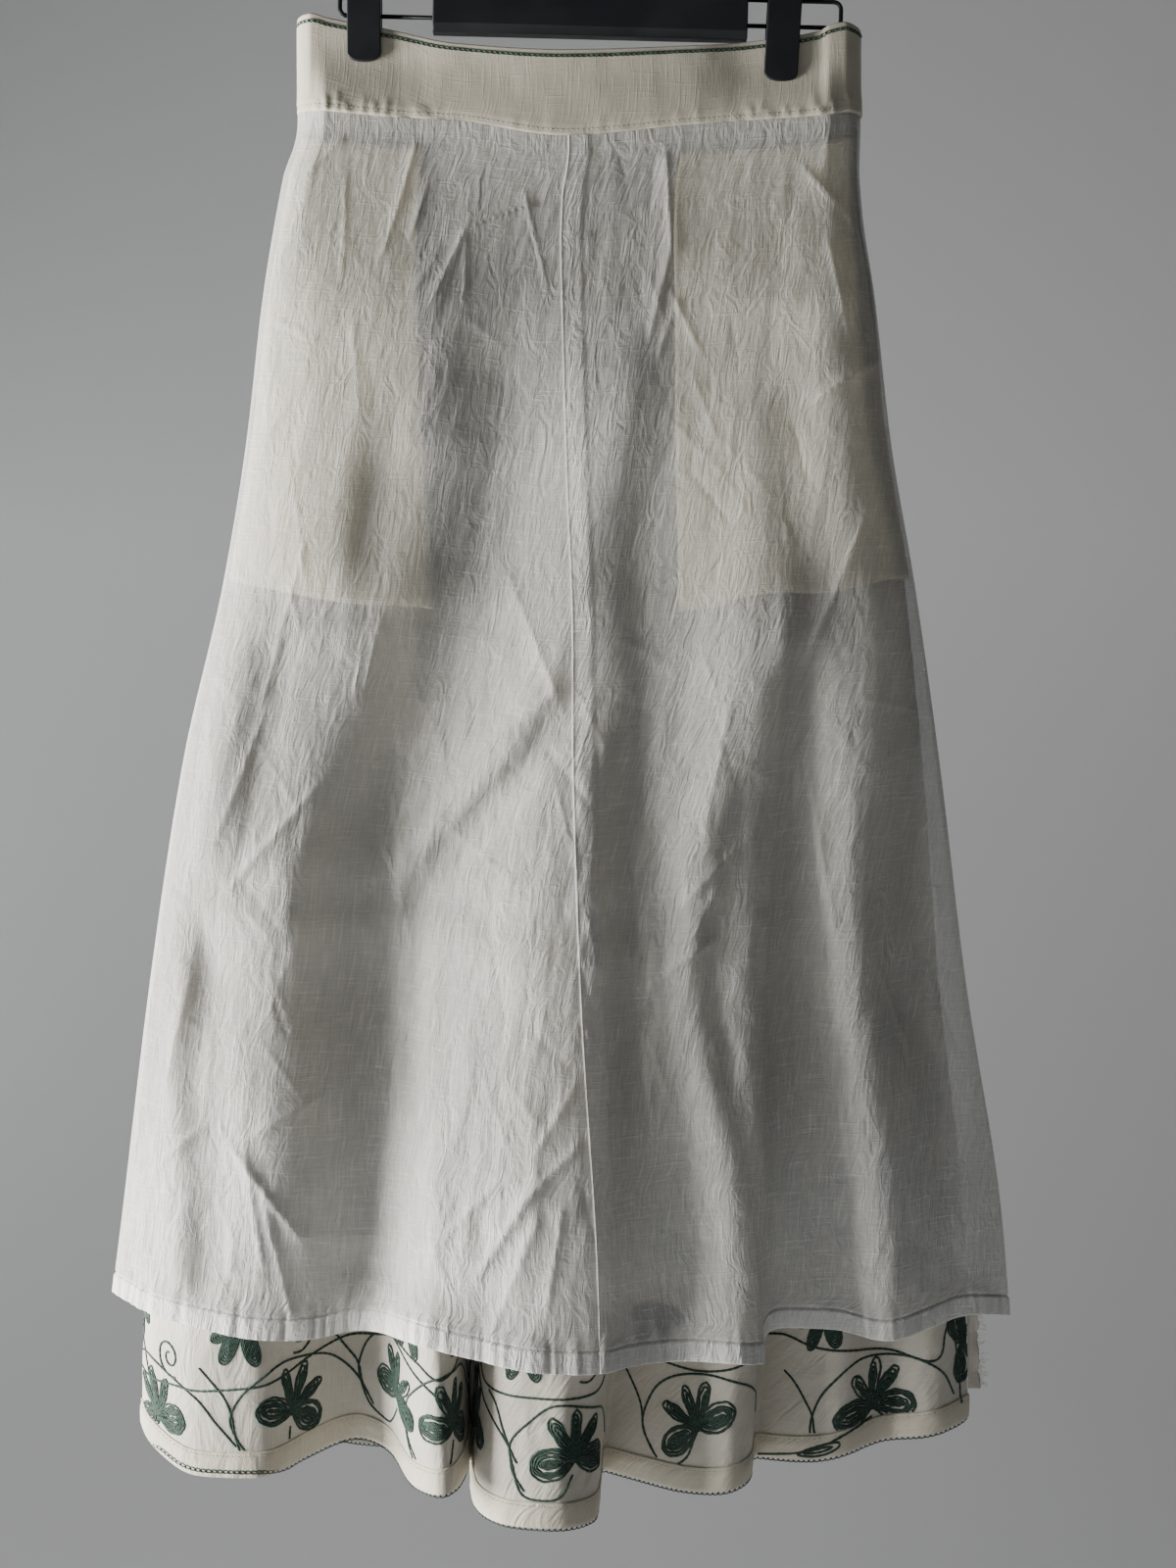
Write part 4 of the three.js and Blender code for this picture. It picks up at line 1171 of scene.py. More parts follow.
@dataclass
class Waistband:
    """The waistband, cut double and folded at its top edge, with a chain stitch just below it."""

    garment: Garment
    wall: float = 2.4
    height: float = 56.0
    columns: int = 210
    rows: int = 30
    chain_below: float = 4.6
    stitch_above: float = 3.4
    puckers: int = 46
    calm: float = 0.25
    calm_half: float = 95.0
    cut: tuple[float, float] = (0.415, 0.135)

    def relief(self, side: Side, t: Array, w: Array) -> Array:
        """Returns the outer face's relief: puckers over the seam and a soft unevenness.

        A pucker is a bell across, which leans and fades upwards. A dip lies along the line of stitches.

        Args:
            side: the half of the loop.
            t: places on the loop.
            w: places down the band.
        """
        x = self.garment.loop.waist_x(t)
        seed = 5 if side is Side.FRONT else 9
        above = (1 - w) * self.height
        rng = np.random.default_rng(seed)
        total = 0.35 * noise(x / 42, above / 30, seed + 3) + 0.12 * noise(x / 9, above / 16, seed + 4)
        for middle in np.linspace(-186, 168, self.puckers) + rng.uniform(-3, 3, self.puckers):
            at_end = abs(middle + 10) > self.calm_half
            tall, high = rng.uniform(6, 19), rng.uniform(0.3, 1.2) * (1.0 if at_end else self.calm)
            lean = rng.uniform(-0.25, 0.25)
            across = (x - middle - lean * above) / rng.uniform(1.6, 3.0)
            total += high * np.exp(-across**2) * (1 - smooth(above, tall * 0.4, tall))
        total -= 0.4 * np.exp(-(((above - self.stitch_above) / 1.0) ** 2)) + 0.5 * smooth(w, 0.955, 1)
        return total * smooth(w, 0.03, 0.12)

    def outer(self, side: Side, t: Array, w: Array, lift: float = 0.0) -> Array:
        """Returns the band's outer face, moved out by its relief and by a lift."""
        loop = self.garment.loop
        return loop.band(t, w) + loop.outward(loop.band, t, w) * (self.relief(side, t, w) + lift)[..., None]

    def half(self, side: Side) -> bpy.types.Object:
        """Builds one half: up the inner face, over the rounded top edge and down the outer face."""
        loop = self.garment.loop
        ease = 0.5 - 0.5 * np.cos(math.pi * np.linspace(0, 1, self.columns))
        t = lerp(*side.span, 0.55 * np.linspace(0, 1, self.columns) + 0.45 * ease)
        turn = np.linspace(math.pi, 0, 9)
        radius = self.wall / 2
        inside = np.stack([np.linspace(1, 0.03, 10), np.full(10, -self.wall), np.zeros(10)], -1)
        over = np.stack([np.zeros(9), radius * (np.cos(turn) - 1), radius * (np.sin(turn) - 1)], -1)
        outside = np.stack([np.linspace(0.03, 1, self.rows), np.zeros(self.rows), np.zeros(self.rows)], -1)
        under = np.array([(1.0, -0.6, -0.2)])
        path = np.concatenate([inside, over, outside, under])
        w, offset, up = (np.repeat(column[:, None], self.columns, 1) for column in path.T)
        grid_t = np.broadcast_to(t, w.shape)
        relief = np.where(offset > -1e-6, self.relief(side, grid_t, w), 0)
        points = loop.band(grid_t, w) + loop.outward(loop.band, grid_t, w) * (offset + relief)[..., None]
        points[..., 2] += up
        maker = MeshMaker()
        across, down = run_along(points, 1), run_along(points, 0)
        maker.add_grid(points, across=across, down=down, cover=0.0)
        name = f"waistband_{side.value}"
        return maker.build(name, BAND_COTTON, [name])

    def line(self, side: Side, below_top: float, lift: float) -> tuple[Array, Array]:
        """Returns a line on the outer face, and the way out of the cloth along it.

        Args:
            side: the half of the loop.
            below_top: how far below the top edge it runs.
            lift: how far out of the cloth it lies.
        """
        t = lerp(*side.span, np.linspace(0.002, 0.998, 700))
        w = np.full_like(t, below_top / self.height)
        loop = self.garment.loop
        return self.outer(side, t, w, lift), loop.outward(loop.band, t, w)

    def build(self) -> None:
        """Builds both halves, the chain stitch and the line of stitches over the seam."""
        for side in Side:
            half = self.half(side)
            chain, seam = MeshMaker(), MeshMaker()
            add_links(chain, *self.line(side, self.chain_below, 0.35), pitch=3.4, width=1.7, radius=0.36)
            add_stitches(seam, *self.line(side, self.height - self.stitch_above, 0.15), 2.0, 3.2, 0.28)
            rows = [chain.build(f"waist_chain_{side.value}", BAND_GREEN),
                    seam.build(f"waist_stitches_{side.value}", CREAM_THREAD)]
            log.info("waistband %s", side.value)


@dataclass
class Lining:
    """The thin lining: two front panels, seamed down the middle, and a back, with a narrow hem."""

    garment: Garment
    centre: float = 0.545
    cover: float = 0.56
    low_cover: float = 0.78
    waist_cover: float = 0.62
    allowance_cover: float = 0.80
    side_cover: float = 0.70
    hem_cover: float = 1.0
    hem: float = 12.5
    allowance: float = 13.5
    hem_fold: float = 0.7
    puckers: Puckers = Puckers(31, 4, 6.5, 2.5, 1.5, (-1.3, 0.8))
    waist_allowance: float = 11.0
    side_allowance: float = 6.0
    crest_x: float = -107.0
    crest_width: float = 22.0
    crest_lift: float = 10.0
    creases: dict[Side, int] = field(default_factory=lambda: {Side.FRONT: 190, Side.BACK: 110})
    low_creases: int = 120
    front_columns: int = 350
    back_columns: int = 170
    rows: int = 320
    back_rows: int = 185
    hem_rows: int = 30
    hem_from: float = 0.972
    cuts: dict[str, tuple[float, float, float]] = field(default_factory=lambda: {
        "lining_front_left": (0.35, 0.80, 0.225),
        "lining_front_right": (0.33, 0.80, 0.220),
        "lining_back": (0.68, 0.80, 0.44),
    })

    def relief(self, side: Side, points: Array, t: Array, v: Array) -> Array:
        """Returns the height of the folds, creases and crumples over the plain layer.

        Args:
            side: the half of the loop.
            points: the layer's points before any relief.
            t: their places on the loop.
            v: their places down the layer.
        """
        x, z = points[..., 0], points[..., 2]
        front = side is Side.FRONT
        folds = fold_relief(side, points) * smooth(v, 0.02, 0.2) * (1 - 0.35 * smooth(v, 0.85, 1))
        if front:
            crest = np.exp(-(((x - self.crest_x) / self.crest_width) ** 2))
            folds += self.crest_lift * crest * smooth(-z, 760, 880)
        seed = 21 if front else 47
        low, high = (x.min(), z.min()), (x.max(), z.max())
        fine = crease_relief(x, z, small_creases(seed, self.creases[side], low, high))
        if front:
            fine += crease_relief(x, z, FRONT_CREASES) * (1 + 0.35 * smooth(-z, 450, 600))
            fine += crease_relief(x, z, small_creases(64, self.low_creases, (-290, -940), (40, -560)))
        patch = 0.3 + 0.7 * smooth(noise(x / 70, z / 120, seed + 5), -0.4, 0.6)
        lean = x - 0.16 * z
        more = 1 + 0.7 * smooth(-z, 500, 700)
        fine += 0.5 * noise(lean / 21, z / 60, seed + 8) + 0.3 * more * noise(lean / 9, z / 34, seed + 9)
        large, little = crumple(lean, z, 13, 40, seed), crumple(lean, z, 6, 19, seed + 2)
        fine += patch * more * (0.22 * large + 0.16 * little)
        edges = smooth(v, 0.0, 0.03) * (1 - 0.7 * smooth(v, 0.975, 0.99))
        edges = edges * smooth(np.minimum(t % 1, 1 - t % 1), -0.001, 0.02)
        return folds + fine * edges

    def panel_cover(self, side: Side, points: Array, t: Array, v: Array) -> Array:
        """Returns how much the cloth covers: more where seam allowances lie behind it.

        Args:
            side: the half of the loop.
            points: the layer's points before any relief.
            t: their places on the loop.
            v: their places down the layer.
        """
        cover = lerp(self.cover, self.low_cover, smooth(-points[..., 2], 780, 890))
        length = self.garment.lining.length(t)
        cover[v * length < self.waist_allowance] = self.waist_cover
        cover[(1 - v) * length < self.hem] = self.hem_cover
        across = run_along(points, 1)
        if side is Side.FRONT:
            beyond = across - across[:, self.seam_column()][:, None]
            strip = (beyond > 0) & (beyond < self.allowance)
            cover[strip] = np.maximum(cover[strip], self.allowance_cover)
        near = np.minimum(across, across[:, -1:] - across) < self.side_allowance
        cover[near] = np.maximum(cover[near], self.side_cover)
        return cover

    def places(self, side: Side) -> Array:
        """Returns the columns' places, one of them on the centre seam of the front."""
        if side is Side.BACK:
            return np.linspace(1, 2, self.back_columns)
        left = round(self.front_columns * self.centre)
        beside = self.centre + np.array([-0.0030, -0.0022, -0.0015, -0.0008, 0, 0.0008, 0.0015, 0.0022])
        before = np.linspace(0, self.centre - 0.0040, left - 3)
        after = np.linspace(self.centre + 0.0030, 1, self.front_columns - left + 1)
        return np.concatenate([before, beside, after])

    def drawn(self, side: Side, place: Array, v: Array) -> Array:
        """Returns the places at each level, drawn aside so that one column follows the centre seam."""
        if side is Side.BACK:
            return np.broadcast_to(place, v.shape)
        seam = SEAM_LINE.curve("place", "level")(v)
        left = place * seam / self.centre
        right = 1 - (1 - place) * (1 - seam) / (1 - self.centre)
        return np.where(place <= self.centre, left, right)

    def levels(self, side: Side) -> Array:
        """Returns the rows' places down the layer, closer together over the hem."""
        above = np.linspace(0, self.hem_from, self.rows if side is Side.FRONT else self.back_rows)[:-1]
        return np.concatenate([above, np.linspace(self.hem_from, 1, self.hem_rows)])

    def seam_column(self) -> int:
        """Returns the front's column on the centre seam."""
        return int(np.abs(self.places(Side.FRONT) - self.centre).argmin())

    def sewn_height(self, side: Side, plain: Array, above_edge: Array) -> Array:
        """Returns the height that sewing gives: the centre seam's strip, the hem's puckers and its step.

        Args:
            side: the half of the loop.
            plain: the layer's points before any relief.
            above_edge: their distance above the hem's edge.

        Returns:
            The height at each point, to be added to the relief.
        """
        across = run_along(plain, 1)
        height = np.zeros_like(above_edge)
        if side is Side.FRONT:
            beyond = across - across[:, self.seam_column()][:, None]
            strip = smooth(beyond, -0.6, 0.2) * (1 - smooth(beyond, self.allowance - 2, self.allowance + 1))
            height = 0.7 * strip + 0.35 * np.exp(-((beyond / 0.7) ** 2))
        band = 1 - smooth(above_edge, self.hem, 2.1 * self.hem)
        step = -0.8 * np.exp(-(((above_edge - self.hem) / 0.8) ** 2))
        step += 0.5 * (1 - smooth(above_edge, self.hem - 1.6, self.hem - 0.2))
        return height + band * self.puckers.along(across[-1]) + step

    def turned_hem(self, at_hem: Array, levels: Array, height: Array) -> Array:
        """Returns the rows of the hem that is turned up behind: round its edge, up, and back to the cloth.

        Args:
            at_hem: the columns' places at the hem.
            levels: the rows' places down the layer.
            height: the face's height over the plain layer, row by row.

        Returns:
            The rows' points.
        """
        layer = self.garment.lining
        rows = []
        for up, back in ((-0.25, 0.2), (-0.25, 0.5), (0, self.hem_fold), (self.hem / 2, self.hem_fold),
                         (self.hem, self.hem_fold), (self.hem, 0.25)):
            level = 1 - max(up, 0) / layer.length(at_hem)
            follow = np.array([np.interp(level[k], levels, height[:, k]) for k in range(len(at_hem))])
            row = layer.at(at_hem, level) + layer.body_out(at_hem, level) * (follow - back)[:, None]
            row[:, 2] += min(up, 0)
            rows.append(row)
        return np.stack(rows)

    def half(self, side: Side) -> tuple[Array, Array, Array, Array]:
        """Returns a half's points, with its hem turned up behind, its run across and down, and its cover."""
        layer = self.garment.lining
        place, levels = self.places(side), self.levels(side)
        v = np.broadcast_to(levels[:, None], (len(levels), len(place)))
        t, at_hem = self.drawn(side, place, v), self.drawn(side, place, np.ones(len(place)))
        plain, out = layer.at(t, v), layer.body_out(t, v)
        height = self.relief(side, plain, t, v) + self.sewn_height(side, plain, (1 - v) * layer.length(t))
        face = plain + out * height[..., None]
        turned = self.turned_hem(at_hem, levels, height)
        points = np.concatenate([face, turned])
        cover = self.panel_cover(side, plain, t, v)
        cover = np.concatenate([cover, np.full(turned.shape[:2], self.hem_cover)])
        return points, run_along(points, 1), run_along(points, 0), cover

    def build(self) -> None:
        """Builds the three panels and their stitches."""
        for side in Side:
            points, across, down, cover = self.half(side)
            seam = self.seam_column()
            parts = {"lining_back": slice(None)}
            if side is Side.FRONT:
                parts = {"lining_front_left": slice(0, seam + 1), "lining_front_right": slice(seam, None)}
            stitches = MeshMaker()
            layer, place = self.garment.lining, self.places(side)
            t = self.drawn(side, place, np.ones(len(place)))
            level = 1 - (self.hem - 1.0) / layer.length(t)
            near = np.abs(self.levels(side) - level.mean()).argmin()
            add_stitches(stitches, points[near], layer.body_out(t, level), 2.4, 3.6, 0.24)
            sewn = stitches.build(f"lining_hem_stitches_{side.value}", WHITE_THREAD)
            for name, columns in parts.items():
                maker = MeshMaker()
                maker.add_grid(points[:, columns], across=across[:, columns], down=down[:, columns],
                               cover=cover[:, columns])
                panel = maker.build(name, VOILE, [name])
            log.info("lining %s", side.value)


@dataclass
class OuterSkirt:
    """The outer skirt, which hangs inside the lining with its wrong side out and its hem turned up."""

    garment: Garment
    hem: float = 15.0
    stitch_line: float = 13.0
    turned: float = 0.9
    puckers: Puckers = Puckers(77, 5, 11.0, 4, 2.4, (-0.5, 0.5))
    shown_cover: float = 0.55
    hem_cover: float = 0.85
    columns: dict[Side, int] = field(default_factory=lambda: {Side.FRONT: 400, Side.BACK: 260})
    upper_rows: int = 80
    lower_rows: int = 62
    lower: float = 0.155
    folds_end: tuple[float, float] = (800.0, 905.0)
    cuts: dict[Side, tuple[float, float, float]] = field(default_factory=lambda: {
        Side.FRONT: (1.10, 0.90, 0.64), Side.BACK: (0.90, 0.90, 0.58)})

    def relief(self, side: Side, points: Array, v: Array) -> Array:
        """Returns a soft crumple."""
        x, z = points[..., 0] + 0.7 * points[..., 1], points[..., 2]
        seed = 61 if side is Side.FRONT else 83
        soft = 0.5 * crumple(x, z, 26, 50, seed) + 0.25 * crumple(x, z, 9, 16, seed + 2)
        return soft * smooth(v, 0.02, 0.1)

    def surface(self, side: Side, t: Array, v: Array) -> tuple[Array, Array]:
        """Returns the skirt's face with its crumple, and the way out of it, at places on the loop."""
        layer = self.garment.skirt
        plain = layer.at(t, v)
        out = layer.loop.outward(layer.at, t, v)
        return plain + out * self.relief(side, plain, v)[..., None], out

    def folded(self, side: Side, t: Array, v: Array) -> Array:
        """Returns the face in rows from seam to seam, with the lining's folds, which end above the hem."""
        points, _ = self.surface(side, t, v)
        ends = smooth(v, 0.02, 0.2) * (1 - smooth(-points[..., 2], *self.folds_end))
        height = fold_relief(side, points) * ends
        return points + self.garment.skirt.body_out(t, v) * height[..., None]

    def turned_hem(self, side: Side, place: Array, pucker: Array) -> Array:
        """Returns the rows of the hem that is turned up in front, with a dip at its line of stitches.

        Args:
            side: the half of the loop.
            place: the columns' places.
            pucker: the height of the puckers in each column.

        Returns:
            The rows' points.
        """
        length = self.garment.skirt.length(place)
        rows = []
        for up, out in ((-0.35, 0.25), (-0.35, 0.6), (0, self.turned), (2, self.turned + 0.2),
                        (5, self.turned + 0.25), (8, self.turned + 0.25), (11, self.turned + 0.2),
                        (12.6, self.turned - 0.2), (13.4, self.turned - 0.15), (self.hem - 0.2, self.turned),
                        (self.hem + 0.2, self.turned - 0.3), (self.hem + 0.2, 0.15)):
            base, normal = self.surface(side, place, 1 - max(up, 0) / length)
            row = base + normal * (out + pucker * min(out, 0.6) * smooth(up, -1, 6))[:, None]
            row[:, 2] += min(up, 0)
            rows.append(row)
        return np.stack(rows)

    def half(self, side: Side) -> bpy.types.Object:
        """Builds one half: down its face, round the hem's edge and up the turned-up hem in front."""
        place = lerp(*side.span, np.linspace(0, 1, self.columns[side]))
        upper = np.linspace(0, 1 - self.lower, self.upper_rows)[:-1]
        level = np.concatenate([upper, np.linspace(1 - self.lower, 1, self.lower_rows)])
        grid_t = np.broadcast_to(place, (len(level), len(place)))
        grid_v = np.broadcast_to(level[:, None], grid_t.shape)
        points = self.folded(side, grid_t, grid_v)
        run = run_along(points, 1)[-1]
        turned = self.turned_hem(side, place, self.puckers.along(run))
        whole = np.concatenate([points, turned])
        # Cover 0 above the band shown below the lining paints the shade of the gap over the skirt's hidden
        # part; the shown band keeps its own colour.
        shown = self.shown_cover * smooth(-points[..., 2], 860, 930)
        cover = np.concatenate([shown, np.full(turned.shape[:2], self.hem_cover)])
        maker = MeshMaker()
        maker.add_grid(whole, across=run_along(whole, 1), down=run_along(whole, 0), cover=cover)
        name = f"skirt_{side.value}"
        log.info("skirt %s, hem %.0f mm", side.value, run[-1])
        return maker.build(name, SKIRT_COTTON, [name])

    def place(self, run: Array, height: Array, lift: float) -> tuple[Array, Array]:
        """Returns places on the wrong side, by the run along the hem and the height above it.

        Args:
            run: distance along the hem from the left side seam, right round the loop.
            height: height above the hem's edge.
            lift: how far out of the cloth.

        Returns:
            The points and the way out of the cloth at each of them.
        """
        share, total = self.hem_run()
        t = np.interp(np.asarray(run) % total[-1], total, share)
        v = 1 - np.asarray(height) / self.garment.skirt.length(t)
        points, out = self.surface(Side.FRONT, t, v)
        behind, behind_out = self.surface(Side.BACK, t, v)
        rear = (t > 1)[..., None]
        points, out = np.where(rear, behind, points), np.where(rear, behind_out, out)
        over_hem = self.turned * (1 - smooth(np.asarray(height), self.hem - 0.6, self.hem + 0.8))
        return points + out * (lift + over_hem)[..., None], out

    def hem_run(self) -> tuple[Array, Array]:
        """Returns places round the loop and the hem's run up to each."""
        t = np.linspace(0, 2, 2401)
        steps = np.linalg.norm(np.diff(self.garment.skirt.at(t, np.ones_like(t)), axis=0), axis=-1)
        return t, np.concatenate([[0], np.cumsum(steps)])

    def build(self, trims: dict[Side, list[bpy.types.Object]]) -> None:
        """Builds both halves."""
        for side in Side:
            piece = self.half(side)


@dataclass(frozen=True)
class BagShape:
    """A pocket bag on the front: its places at the side and inwards, at its top and foot, and both drops."""

    top_side: float
    foot_side: float
    top_inner: float
    foot_inner: float
    top: float
    foot: float


@dataclass
class PocketBags:
    """The two pocket bags, flat against the lining's inner face from the side seams inwards."""

    garment: Garment
    thickness: float = 0.8
    near: float = 1.0
    deep: float = 3.4
    length: float = 765.0
    front_width: float = 560.0
    rows: int = 70
    columns: int = 46
    cut: tuple[float, float, float] = (0.17, 0.30, 0.042)
    shapes: dict[str, BagShape] = field(default_factory=lambda: {
        "left": BagShape(0.012, 0.008, 0.235, 0.305, 16, 306),
        "right": BagShape(0.988, 0.990, 0.68, 0.655, 16, 300)})

    def folds(self, t: Array, v: Array) -> Array:
        """Returns the height of the lining's broad folds, gathered up over its whole width."""
        place = np.linspace(0, 1, 281)
        height = np.empty_like(t)
        for k in range(len(t)):
            level = np.full((1, len(place)), v[k].mean())
            row = fold_relief(Side.FRONT, self.garment.lining.at(place[None], level))[0]
            height[k] = np.interp(t[k], place, row) * smooth(level[0, 0], 0.02, 0.2)
        return height

    def grid(self, shape: BagShape, down: Array, across: Array) -> tuple[Array, Array]:
        """Returns a bag's places on the lining, its edges straight and its foot a little aslant."""
        side = lerp(shape.top_side, shape.foot_side, down)
        inner = lerp(shape.top_inner, shape.foot_inner, down)
        t = lerp(side, inner, across) + 0 * down
        v = lerp(shape.top, shape.foot + 8 * (across - 0.3), down) / self.length
        return np.broadcast_arrays(t, v)

    def build(self) -> None:
        """Builds each bag as a thin closed wall with a soft belly and an uneven foot."""
        lining = self.garment.lining
        for side, shape in self.shapes.items():
            down = np.linspace(0, 1, self.rows)[:, None]
            across = np.linspace(0, 1, self.columns)[None]
            if side == "right":
                across = across[:, ::-1]
            t, v = self.grid(shape, down, across)
            wide, deep = t * self.front_width, v * self.length
            from_side = np.minimum(t, 1 - t)
            wave = 0.3 * crumple(wide, deep, 20, 45, 91) * smooth(from_side, 0.05, 0.1)
            height = self.folds(t, v) + wave - lerp(self.near, self.deep, smooth(from_side, 0.02, 0.075))
            wall = self.thickness * smooth(from_side, 0, 0.05) + 0.1
            face, out = lining.at(t, v), lining.body_out(t, v)
            maker = MeshMaker()
            add_wall(maker, face + out * height[..., None], face + out * (height - wall)[..., None],
                     across=wide, down=deep, cover=0.0)
            name = f"pocket_bag_{side}"
            bag = maker.build(name, POCKET_COTTON, [name])
            log.info("pocket bag %s", side)


@dataclass(frozen=True)
class Flower:
    """A flower of the border: its run along the hem, its height, its turn in degrees and its size."""

    run: float
    height: float
    turn: float
    size: float = 1.0


@dataclass
class Embroidery:
    """The border: a waving line, flowers under it with looped stems, and spirals and buds over it."""

    skirt: OuterSkirt
    petal_radius: float = 0.92
    line_radius: float = 0.86
    step: float = 1.5
    spacing: float = 127.0
    hem_band: float = 15.5
    wave_over: float = 35.0
    lobe_rings: tuple[float, ...] = (1.0, 0.84, 0.68, 0.52, 0.36, 0.20, 0.06)
    petal_rings: tuple[float, ...] = (1.0, 0.68, 0.36, 0.08)
    bud_rings: tuple[float, ...] = (1.0, 0.78, 0.56, 0.34, 0.12)
    flowers_in_front: tuple[Flower, ...] = (
        Flower(27, 22, -24, 0.92), Flower(126, 33, 24, 1.0), Flower(222, 44, 12, 0.98),
        Flower(280, 37, 18, 1.0), Flower(380, 40, -8, 1.0), Flower(476, 41, 0, 1.06),
        Flower(627, 40, -26, 1.04), Flower(786, 24, 4, 1.04), Flower(851, 50, 84, 0.9),
    )
    wave_in_front: Table = field(default_factory=lambda: Table("run height", [
        (2, 37), (13, 39), (48, 50), (85, 54), (116, 57), (149, 63), (190, 69), (235, 80), (252, 77),
        (272, 68), (295, 72), (318, 84), (345, 88), (375, 82), (405, 76), (440, 77), (477, 77), (505, 80),
        (535, 86), (560, 84), (590, 79), (628, 75), (665, 77), (690, 80), (715, 80), (740, 72), (770, 64),
        (800, 56), (829, 46), (834, 50), (836, 60), (848, 82), (881, 84),
    ]))

    def flowers(self) -> list[Flower]:
        """Returns the flowers: the front's own, then even ones round the back."""
        total = self.skirt.hem_run()[1][-1]
        rng = np.random.default_rng(3)
        start = self.flowers_in_front[-1].run + 0.75 * self.spacing
        count = round((total - start) / self.spacing)
        runs = start + (total - 40 - start) * np.arange(count) / (count - 1)
        rest = [Flower(run, 40 + rng.uniform(-3, 3), rng.uniform(-24, 24), rng.uniform(0.95, 1.05))
                for run in runs]
        return [*self.flowers_in_front, *rest]

    def petal(self, length: float, width: float, lean: float, shrink: float, fullness: float) -> Array:
        """Returns one ring of a petal, drawn out from the flower's heart and leaning by an angle.

        Along its axis it runs out and back as one less a cosine; across it as a sine, narrowed towards the
        heart. An inner ring is shrunk more across than along, about a point past its middle.

        Args:
            length: the petal's length.
            width: its width.
            lean: its turn from upright, in degrees.
            shrink: the ring's size as a share of the petal's.
            fullness: how much it is narrowed towards the heart.
        """
        turn = np.linspace(0, 2 * math.pi, 30)
        along = length * (0.5 - 0.5 * np.cos(turn))
        aside = width / 2 * np.sin(turn) * np.abs(np.sin(turn / 2)) ** fullness * 1.1
        along = lerp(0.58 * length, along, 0.3 + 0.7 * shrink)
        aside = aside * shrink
        angle = math.radians(lean)
        return np.stack([along * math.sin(angle) + aside * math.cos(angle),
                         along * math.cos(angle) - aside * math.sin(angle)], -1)

    def flower_lines(self, flower: Flower, seed: int) -> list[Array]:
        """Returns a flower's lines: two ringed lobes at its sides, three narrow petals over them, a heart."""
        rng = np.random.default_rng(seed)
        lines = []
        for lean in (-99, 95):
            length, width = rng.uniform(26, 29), rng.uniform(16.5, 19)
            for shrink in self.lobe_rings:
                lines.append(self.petal(length, width, lean + rng.uniform(-3, 3), shrink, 0.45))
        for lean in (-38, -1, 37):
            length, width = rng.uniform(26, 30), rng.uniform(7.5, 9.5)
            for shrink in self.petal_rings:
                lines.append(self.petal(length, width, lean + rng.uniform(-3, 3), shrink, 1.1))
        for offset in (-2.6, -1.3, 0.0, 1.3, 2.6):
            heart = np.linspace(-1, 1, 7)
            lines.append(np.stack([offset + 0.7 * np.sin(3 * heart + offset), 3.4 * heart + 0.5], -1))
        wobble = [line + 0.35 * np.sin(np.arange(len(line))[:, None] * (1.3, 1.7) + rng.uniform(0, 6, 2))
                  for line in lines]
        angle = math.radians(-flower.turn)
        spin = np.array([[math.cos(angle), math.sin(angle)], [-math.sin(angle), math.cos(angle)]])
        return [line @ spin * flower.size + (flower.run, flower.height) for line in wobble]

    def stem_lines(self, flower: Flower, seed: int) -> list[Array]:
        """Returns the lines round a flower.

        One arches over it from the right, goes down its left side and under it into its heart. The other
        comes from the waving line on the upper left and joins the first.
        """
        jitter = np.random.default_rng(seed).uniform(-2, 2, (14, 2))
        arch = np.array([(58, -4), (47, 12), (30, 25), (8, 31), (-15, 30), (-34, 20), (-43, 6), (-42, -8),
                         (-33, -21), (-19, -26), (-7, -21), (-1, -9)], float) + jitter[:12]
        joint = np.array([(-66, 33), (-58, 26), (-50, 14), (-43.5, 4), (-40.5, -9), (-32, -20)], float)
        joint[1:3] += jitter[12:]
        return [spline(knots) + (flower.run, flower.height) for knots in (arch, joint)]

    def wave(self, low: float, high: float) -> Array:
        """Returns the waving line: by its table in front, rising over each flower behind.

        Args:
            low: the run along the hem where it starts.
            high: the run where it ends.
        """
        s = np.arange(low, high, self.step)
        runs = np.array([flower.run for flower in self.flowers()])
        near = np.abs(s[:, None] - runs[None]).min(1)
        behind = 40 + self.wave_over + 8 * np.cos(math.pi * np.clip(near / (self.spacing / 2), 0, 1))
        front = self.wave_in_front.curve("height", "run")(s)
        last = self.wave_in_front["run"][-1]
        return np.stack([s, lerp(front, behind, smooth(s, last - 6, last + 30))], -1)

    def spiral(self, run: float, height: float, size: float, flip: float) -> Array:
        """Returns a spiral: its radius grows with its turn."""
        turn = np.linspace(0.4, 3.3 * math.pi, 60)
        reach = size * (0.18 + 0.82 * (turn / turn[-1]) ** 1.3)
        return np.stack([run + flip * reach * np.cos(turn + 1.2), height + reach * np.sin(turn + 1.2)], -1)

    def bud_lines(self, run: float, height: float, seed: int) -> list[Array]:
        """Returns a hanging flower of the row above: four ringed petals that point down.

        Args:
            run: its heart's run along the hem.
            height: its heart's height over the hem.
            seed: the seed of its unevenness.
        """
        rng = np.random.default_rng(seed)
        lines = []
        for lean, length in ((-62, 24), (-20, 30), (22, 30), (60, 24)):
            turned, width = 180 + lean + rng.uniform(-4, 4), rng.uniform(9, 11.5)
            for shrink in self.bud_rings:
                lines.append(self.petal(length, width, turned, shrink, 0.7) + (run, height))
        return lines

